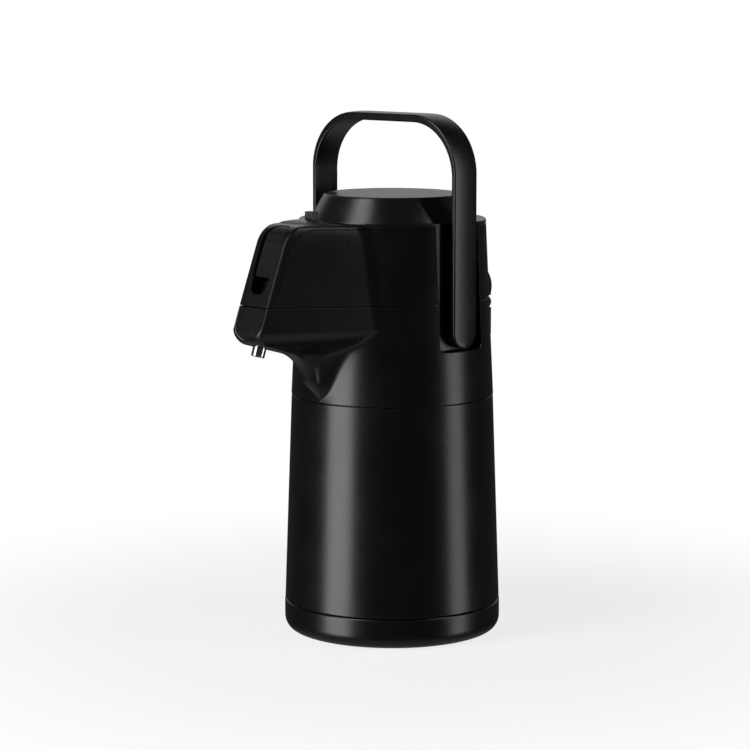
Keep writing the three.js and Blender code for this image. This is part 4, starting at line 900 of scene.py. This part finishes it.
def makeBase():
    radius, rise, foot, plug = base["radius"], base["rise"], base["foot"], base["plug"]
    top = baseHeight
    inner = bodyRadius(top) - wall - clearance
    profile = softProfile([
        (plug, 0, 0.4), (base["grooveIn"], 0, 0.5), (base["grooveIn"], base["grooveDeep"], 0.6),
        (base["grooveOut"], base["grooveDeep"], 0.6), (base["grooveOut"], 0, 0.5),
        (base["grooveOut"] + 1, 0, 0)], False)
    profile += [(foot + (radius - foot) * sin(a), rise * (1 - cos(a)))
                for a in spread(0, quarter, 12)]
    profile += softProfile([
        (radius, rise + 0.1, 0), (radius, top - base["lip"], 0.7), (radius - base["lip"], top, 0.6),
        (inner, top, 0.2), (inner, top + base["spigot"], 0.6), (inner - wall, top + base["spigot"], 0.6),
        (inner - wall, base["floor"], 2.0), (plug + base["plugWall"], base["floor"], 1.5),
        (plug + base["plugWall"], base["plugHeight"], 0.6), (plug, base["plugHeight"], 0)], False)
    piece = revolve("baseCover", profile, sides["shell"])
    dress(piece, glossBlack, "pot", "black_plastic", "base_cover")


def makeBody():
    levels = spread(baseHeight + seam, shoulderBottom, 12)
    low, high = levels[0], levels[-1]
    corners = [(bodyRadius(low) - wall, low, 0.4), (bodyRadius(low), low, 0.6)]
    corners += [(bodyRadius(v), v, 0) for v in levels[1:-1]]
    corners += [(bodyRadius(high), high, 0.6), (bodyRadius(high) - wall, high, 0.4)]
    dress(lathe("outerBody", corners, sides["shell"]), glossBlack, "pot", "black_plastic", "outer_body")


button = {"top": 339.6, "topRadius": 53.0, "radius": 63.4, "wall": 2.0, "skirt": 298.0, "flange": 2.5,
          "out": 2.0, "locator": 24.0, "locatorWall": 1.5, "locatorHeight": 6.0, "dish": 0.5,
          "notchIn": 65.0, "notchOut": 90.0, "notchHalf": 25.1, "notchLow": 290.0, "notchHigh": 301.0}


def makeButton():
    top, radius, edge, skirt = button["top"], button["radius"], button["topRadius"], button["skirt"]
    wall, face = button["wall"], button["top"] - button["dish"]
    under, flange, out = top - wall, skirt + button["flange"], radius + button["out"]
    ring, ringIn = button["locator"], button["locator"] - button["locatorWall"]
    ringLow = under - button["locatorHeight"]
    corners = [(0, face, 0), (edge - 5, face, 1.5), (edge - 3, top, 0.8), (edge - 0.7, top, 0.9),
               (edge + 0.2, top - 1.1, 0.9), (radius, headTop, 0.8), (radius, flange, 0.2),
               (out, flange, 0.4), (out, skirt, 0.4), (radius - wall, skirt, 0.4),
               (radius - wall, headTop - wall, 0.6), (edge - wall, under, 0.6), (ring, under, 0.3),
               (ring, ringLow, 0.4), (ringIn, ringLow, 0.4), (ringIn, under, 0.3), (0, under, 0)]
    piece = lathe("pushButton", corners, sides["shell"], False, 5)
    for side in (1, -1):
        reach = sorted((button["notchIn"] * side, button["notchOut"] * side))
        cut(piece, bar("notch", reach, about(0, button["notchHalf"]),
                       (button["notchLow"], button["notchHigh"]), 0.4))
    dress(piece, satinBlack, "button", "satin_plastic", "push_button")


def makeNozzle():
    bore, radius, length = nozzle["bore"], nozzle["radius"], nozzle["length"]
    corners = [(bore, 0, 0.1), (radius, 0, 0.2), (radius, length, 0.35), (bore, length, 0.2)]
    piece = lathe("nozzleTube", corners, sides["boss"])
    dress(toAxis(piece, nozzleTop, nozzleAxis), polishedSteel, "pot", "steel", "nozzle")


makeBase()
makeBody()
makeButton()
makeNozzle()
print("lathe pieces made")

# ---- bail: strap bent over the pot, crowned outside, rounded ends and edges
bail = {"outer": 77.5, "arm": 4.5, "bar": 6.4, "top": 401.4, "width": 24.4, "corner": 45.0, "edge": 1.3,
        "crown": 0.5, "peg": 5.0, "pegEnd": 61.0, "pegLap": 1.0, "endSteps": 14, "armSteps": 16,
        "cornerSteps": 18, "topSteps": 8, "edgeSteps": 5, "faceSteps": 8}


def makeBail():
    outer, top, corner, edge, crown = (bail[key] for key in ("outer", "top", "corner", "edge", "crown"))
    inner, half = outer - bail["arm"], bail["width"] / 2
    innerCorner, innerTop = corner - bail["arm"], top - bail["bar"]

    def path(take):
        # stations as (outer point, inner point, half width), from one rounded end to the other
        wide = half - take
        ends = [(boss["pivot"] - wide * sin(a), wide * cos(a))
                for a in spread(quarter, 0, bail["endSteps"])[:-1]]
        arms = [(z, wide) for z in spread(boss["pivot"], top - corner, bail["armSteps"])]
        rows = [((outer, z), (inner, z), width) for z, width in ends + arms]
        turns = [arc(outer - corner, level - size, size, 0, quarter, bail["cornerSteps"])[1:]
                 for level, size in ((top, corner), (innerTop, innerCorner))]
        rows += [(first, second, wide) for first, second in zip(*turns)]
        rows += [((x, top), (x, innerTop), wide) for x in spread(outer - corner, 0, bail["topSteps"])[1:]]
        return rows + [((-p[0], p[1]), (-q[0], q[1]), w) for p, q, w in rows[:-1][::-1]]

    rounds = [(edge * (1 - sin(a)), edge * (1 - cos(a)))
              for a in spread(0, quarter, bail["edgeSteps"])]
    paths = {take: path(take) for take, _ in rounds}
    across, down, up = spread(-1, 1, bail["faceSteps"] * 2), rounds[1:], rounds[::-1][:-1]
    # round the section as (inset, depth, side, from the inner face)
    section = [(edge, crown * s * s, s, False) for s in across]
    section += [(take, crown + depth, 1, False) for take, depth in down]
    section += [(take, depth, 1, True) for take, depth in up]
    section += [(edge, 0, s, True) for s in across[::-1]]
    section += [(take, depth, -1, True) for take, depth in down]
    section += [(take, crown + depth, -1, False) for take, depth in up]
    rings = []
    for k in range(len(paths[edge])):
        ring = []
        for take, depth, side, fromInner in section:
            *faces, width = paths[take][k]
            start, end = [Vector(face) for face in (faces[::-1] if fromInner else faces)]
            spot = start.lerp(end, depth / (end - start).length)
            ring.append((spot.x, width * side + boss["offset"], spot.y))
        rings.append(ring)
    piece = loft("carryingBail", rings)
    for side in (1, -1):
        length = inner + bail["pegLap"] - bail["pegEnd"]
        corners = [(0, 0, 0), (bail["peg"], 0, 0.6), (bail["peg"], length, 0), (0, length, 0)]
        gather(piece, toPivot(lathe("peg", corners, sides["pin"], False), bail["pegEnd"], side))
    dress(piece, glossBlack, "carrying_handle", "black_plastic", "handle", crease=40)


makeBail()
print("bail made")

# ---- lock slider with its ribbed knob
knob = {"half": 4.5, "deep": 2.8, "place": 86.0, "top": 330.2, "neck": 1.5, "neckLap": 0.5, "foot": 2.0,
        "footHalf": 5.5, "tongue": 2.0, "tongueEnd": 65.3, "ribs": 5, "groove": 0.45, "grooveOut": 0.1,
        "edge": 0.5}


def makeKnob():
    half, foot, place = knob["half"], knob["foot"], -knob["place"]
    low = headTop + climb(knob["place"] + knob["deep"], headTop) + clearance
    footLevel = headTop - head["deck"] - clearance - foot
    piece = bar("lockKnob", about(0, half), about(place, knob["deep"]), (low, knob["top"]), knob["edge"])
    near, far = about(place, knob["deep"] + knob["grooveOut"])
    crest = knob["top"] + knob["grooveOut"]
    for x in spread(-half, half, knob["ribs"])[1:-1]:
        line = [(x, near, low - 1), (x, near, crest), (x, far, crest), (x, far, low - 1)]
        cut(piece, tube("rib", line, knob["groove"], sides["line"]))
    plate = (footLevel, footLevel + foot)
    gather(piece,
           bar("neck", about(0, knob["neck"]), about(place, knob["neck"]),
               (footLevel, low + knob["neckLap"]), 0.2),
           bar("plate", about(0, knob["footHalf"]), about(place, knob["footHalf"]), plate, 0.3),
           bar("tongue", about(0, knob["tongue"]), (place, -knob["tongueEnd"]), plate, 0.3))
    dress(piece, satinBlack, "slider", "black_plastic", "lock_slider")


makeKnob()

# ---- rear hinge: cover and knuckle on the head, cheeks and hanging tab on the shoulder, pin
hinge = {"reach": 85.0, "level": 250.0, "pin": 2.0, "knuckle": 4.4, "half": 22.0, "cheek": 6.0,
         "rise": 31.0, "out": 90.5, "tab": 1.6, "drop": 26.0, "foot": 8.0, "gap": 0.6,
         "belly": 0.42, "waist": 0.62, "brow": 0.85, "coneLow": 170.0, "coneHigh": 330.0}


def cutCone(*pieces):
    # clears the shells by the common clearance
    low, high, grow = hinge["coneLow"], hinge["coneHigh"], clearance
    for piece in pieces:
        cut(piece, revolve("coneCutter", [
            (0, low), (coneRadius(low) + grow, low), (coneRadius(high) + grow, high), (0, high)],
            sides["shell"], closed=False))


def makeHinge():
    reach, level, ring, half = hinge["reach"], hinge["level"], hinge["knuckle"], hinge["half"]
    out, tab, rise, cheek = hinge["out"], hinge["tab"], hinge["rise"], half - hinge["cheek"]
    root, bottom, lid = topRadius - hinge["foot"], headSeam + seam, level + ring
    profile = softProfile([
        (root, bottom, 0), (reach, lid + hinge["gap"], 0.8), (out - tab, lid + hinge["gap"], 0.8),
        (out, level + rise * hinge["belly"], 5), (out - tab, level + rise * hinge["waist"], 3),
        (out - tab * 4, level + rise * hinge["brow"], 3), (root, level + rise, 0)], True, 6)
    cover = prism("hingeCover", profile, about(0, half), 0.8)
    round_ = [(reach - ring, bottom)] + arc(reach, level, ring, pi, tau, 16)
    knuckle = prism("knuckle", round_ + [(reach + ring, bottom)], about(0, cheek - clearance), 0.4)
    cutCone(cover, knuckle)
    gather(cover, knuckle)
    dress(cover, glossBlack, "pump_head", "black_plastic", "hinge_cover")
    root = shoulderRadius - hinge["foot"]
    side = softProfile([(root, level - ring * 2, 0), (reach, level - ring, 1.0)], False, 2)
    side += arc(reach, level, ring, -quarter, quarter, 16) + [(root, lid)]
    bracket = prism("hingeBracket", side, (cheek, half), 0.5)
    other = prism("cheek", side, (-half, -cheek), 0.5)
    outer, tieTop = reach + ring, level - ring - hinge["gap"]
    plate = bar("tab", about(0, half), (outer - tab, outer), (level - hinge["drop"], level - ring), 0.5)
    tie = bar("tie", about(0, half), (root, outer), (tieTop - tab, tieTop), 0.3)
    cutCone(bracket, other, tie)
    gather(bracket, other, plate, tie)
    dress(bracket, glossBlack, "pot", "black_plastic", "hinge_bracket")
    pin = lathe("hingePin", [(0, 0, 0), (hinge["pin"], 0, 0.4), (hinge["pin"], half * 2, 0.4),
                             (0, half * 2, 0)], 32, False)
    dress(toAxis(pin, (-half, reach, level), (1, 0, 0)), zincSteel, "pot", "steel", "hinge_pin")


makeHinge()
print("hinge made")

# ---- pump inside: folded bellows, return spring, lever spring
pump = {"floor": 265.1, "ceiling": 337.3, "radius": 49.0, "fold": 9.0, "wall": 1.4, "folds": 5,
        "foldEdge": 1.6, "edge": 0.3, "mouth": 30.0, "springRadius": 19.0, "wire": 0.9, "turns": 8,
        "stroke": 18.0, "smallWire": 0.45, "smallTurns": 3, "smallLength": 4.8}


def makePump():
    floor, ceiling, wall, edge = pump["floor"], pump["ceiling"], pump["wall"], pump["edge"]
    low, high, waist, mouth = floor + wall, ceiling - wall, pump["radius"] - pump["fold"], pump["mouth"]
    outside = [(pump["radius"] if i % 2 else waist, z, pump["foldEdge"])
               for i, z in enumerate(spread(low, high, pump["folds"] * 2))]
    corners = [(mouth, floor, edge), (waist, floor, edge)] + outside
    corners += [(waist, ceiling, edge), (mouth, ceiling, edge), (mouth, high, edge)]
    corners += [(r - wall, z, size) for r, z, size in outside[::-1]] + [(mouth, low, edge)]
    bellows = lathe("pumpBellows", corners, sides["deck"], True, 3)
    dress(bellows, naturalPlastic, "pump_head", "white_plastic", "bellows")
    wire = pump["wire"]
    coil = [(x, y, lerp(floor + wire, ceiling - wire, share))
            for x, y, share in helix(pump["springRadius"], pump["turns"], 28)]
    spring = tube("returnSpring", coil, wire, sides["wire"])
    dress(spring, zincSteel, "pump_head", "steel", "return_spring")
    for soft in (bellows, spring):
        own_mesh(soft)
    wire = pump["smallWire"]
    start, radius = lever["tailHalf"] + clearance + wire, lever["pinRadius"] + clearance + wire
    coil = [(start + share * pump["smallLength"], pinAt.y + y, pinAt.z + z)
            for y, z, share in helix(radius, pump["smallTurns"], 24)]
    small = tube("leverSpring", coil, wire, sides["line"])
    dress(small, zincSteel, "pump_head", "steel", "lever_spring")


makePump()
print("pump made")

# ---- finishes of the CAD pieces that show as they are
kept = {"liner_support_plug": satinBlack, "vacuum_liner": mirrorGlass}
kept.update(dict.fromkeys(("liner_cushion", "liner_gasket", "stopper_gasket", "nozzle_seal",
                           "pressure_seal", "air_valve"), siliconeRubber))
kept.update(dict.fromkeys(("inner_stopper", "siphon_tube", "outlet_pipe", "head_plate"), naturalPlastic))
kept.update(dict.fromkeys(("handle_washer_right", "handle_washer_left", "lever_pin", "head_screw_1",
                           "head_screw_2", "head_screw_3", "head_screw_4"), zincSteel))
for node, finish in kept.items():
    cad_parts[node].data.materials.clear()
    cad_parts[node].data.materials.append(finish)

# ---- studio: two tall soft boxes, a weak sky, white behind, pale table
studio = {"left": {"turn": -59, "far": 1250, "width": 640, "low": -420, "high": 2300, "radiance": 4.9},
          "right": {"turn": 73, "far": 1250, "width": 420, "low": -420, "high": 2300, "radiance": 2.5},
          "sky": 0.035, "table": 0.3, "tableStart": -0.3, "tableFull": -0.9, "backdrop": 0.68,
          "backdropStart": 0.55, "backdropFull": 0.95, "horizon": 0.2,
          "floorRadius": 520, "floorCore": 4, "floorFade": 160, "floorDrop": 0.3, "floorGlow": 0.8}
product, larger = {"operation": "MULTIPLY"}, {"operation": "MAXIMUM"}
eased = {"interpolation_type": "SMOOTHSTEP"}


def softBox(name, box):
    turn = radians(camera["turn"] - 90 + box["turn"])
    out = Vector((cos(turn), sin(turn), 0))
    data = bpy.data.lights.new(name, "AREA")
    data.shape = "RECTANGLE"
    data.size = box["width"] * mm
    data.size_y = (box["high"] - box["low"]) * mm
    data.energy = box["radiance"] * pi * data.size * data.size_y
    place = out * box["far"] + Vector((0, 0, (box["high"] + box["low"]) / 2))
    lamp = addObject(name, data)
    lamp.matrix_world = Matrix.Translation(place * mm) @ out.to_track_quat("Z", "Y").to_matrix().to_4x4()
    lamp.visible_camera = False


def setWorld():
    world = bpy.data.worlds.new("studioWorld")
    bpy.context.scene.world = world
    tree = emptyTree(world)
    rays = addNode(tree, "LightPath")
    place = addNode(tree, "TexCoord")
    turn = radians(camera["turn"])
    # the pale backdrop stands behind the pot, so only what faces it mirrors it
    towards = addNode(tree, "VectorMath", {"operation": "DOT_PRODUCT"}, Vector=(place, "Generated"))
    towards.inputs[1].default_value = (-sin(turn), cos(turn), 0)
    backdrop = addNode(tree, "MapRange", {
        **eased, "From Min": studio["backdropStart"],
        "From Max": studio["backdropFull"], "To Min": 0.0, "To Max": studio["backdrop"]},
        Value=(towards, "Value"))
    parts = addNode(tree, "SeparateXYZ", Vector=(place, "Generated"))
    above = addNode(tree, "MapRange", {
        **eased, "From Min": 0.0, "From Max": studio["horizon"]},
        Value=(parts, "Z"))
    high = addNode(tree, "Math", product, i0=(above, "Result"), i1=(backdrop, "Result"))
    shown = addNode(tree, "Math", product, i0=(rays, "Is Glossy Ray"), i1=(high, "Value"))
    seen = addNode(tree, "Math", larger, i0=(rays, "Is Camera Ray"), i1=(rays, "Is Transmission Ray"))
    white = addNode(tree, "Math", larger, i0=(seen, "Value"), i1=(shown, "Value"))
    # the pale table top lights what looks down on it
    table = addNode(tree, "MapRange", {
        **eased, "From Min": studio["tableStart"],
        "From Max": studio["tableFull"], "To Min": studio["sky"], "To Max": studio["table"]},
        Value=(parts, "Z"))
    strength = addNode(tree, "Math", larger, i0=(table, "Result"), i1=(white, "Value"))
    light = addNode(tree, "Background", {"Color": (1, 1, 1, 1)}, Strength=(strength, "Value"))
    addNode(tree, "OutputWorld", Surface=(light, "Background"))


def makeFloor():
    # pale round table top that fades into the white
    rings = [[(r * cos(a), r * sin(a), -studio["floorDrop"]) for a in fullTurn(sides["deck"])]
             for r in spread(studio["floorCore"], studio["floorRadius"], 24)]
    floor = loft("floor", rings, capped=False)
    finish = bpy.data.materials.new("paleTable")
    tree = emptyTree(finish)
    rays = addNode(tree, "LightPath")
    place = addNode(tree, "TexCoord")
    away = addNode(tree, "VectorMath", {"operation": "LENGTH"}, Vector=(place, "Object"))
    fade = addNode(tree, "MapRange", {
        **eased, "From Min": studio["floorFade"] * mm,
        "From Max": studio["floorRadius"] * mm}, Value=(away, "Value"))
    passing = addNode(tree, "Math", larger, i0=(rays, "Is Glossy Ray"), i1=(rays, "Is Shadow Ray"))
    clear = addNode(tree, "Math", larger, i0=(passing, "Value"), i1=(fade, "Result"))
    matt = addNode(tree, "BsdfDiffuse", {"Color": hexColour("#f4f4f4")})
    pale = addNode(tree, "Emission", {"Color": (1, 1, 1, 1)}, Strength=(rays, "Is Camera Ray"))
    lit = addNode(tree, "MixShader", {"Fac": studio["floorGlow"]},
                  i1=(matt, "BSDF"), i2=(pale, "Emission"))
    gone = addNode(tree, "BsdfTransparent")
    both = addNode(tree, "MixShader", i0=(clear, "Value"), i1=(lit, "Shader"), i2=(gone, "BSDF"))
    addNode(tree, "OutputMaterial", Surface=(both, "Shader"))
    floor.data.materials.append(finish)


softBox("leftSoftBox", studio["left"])
softBox("rightSoftBox", studio["right"])
setWorld()
makeFloor()
bpy.context.scene.view_settings.view_transform = "Standard"
print("studio set")
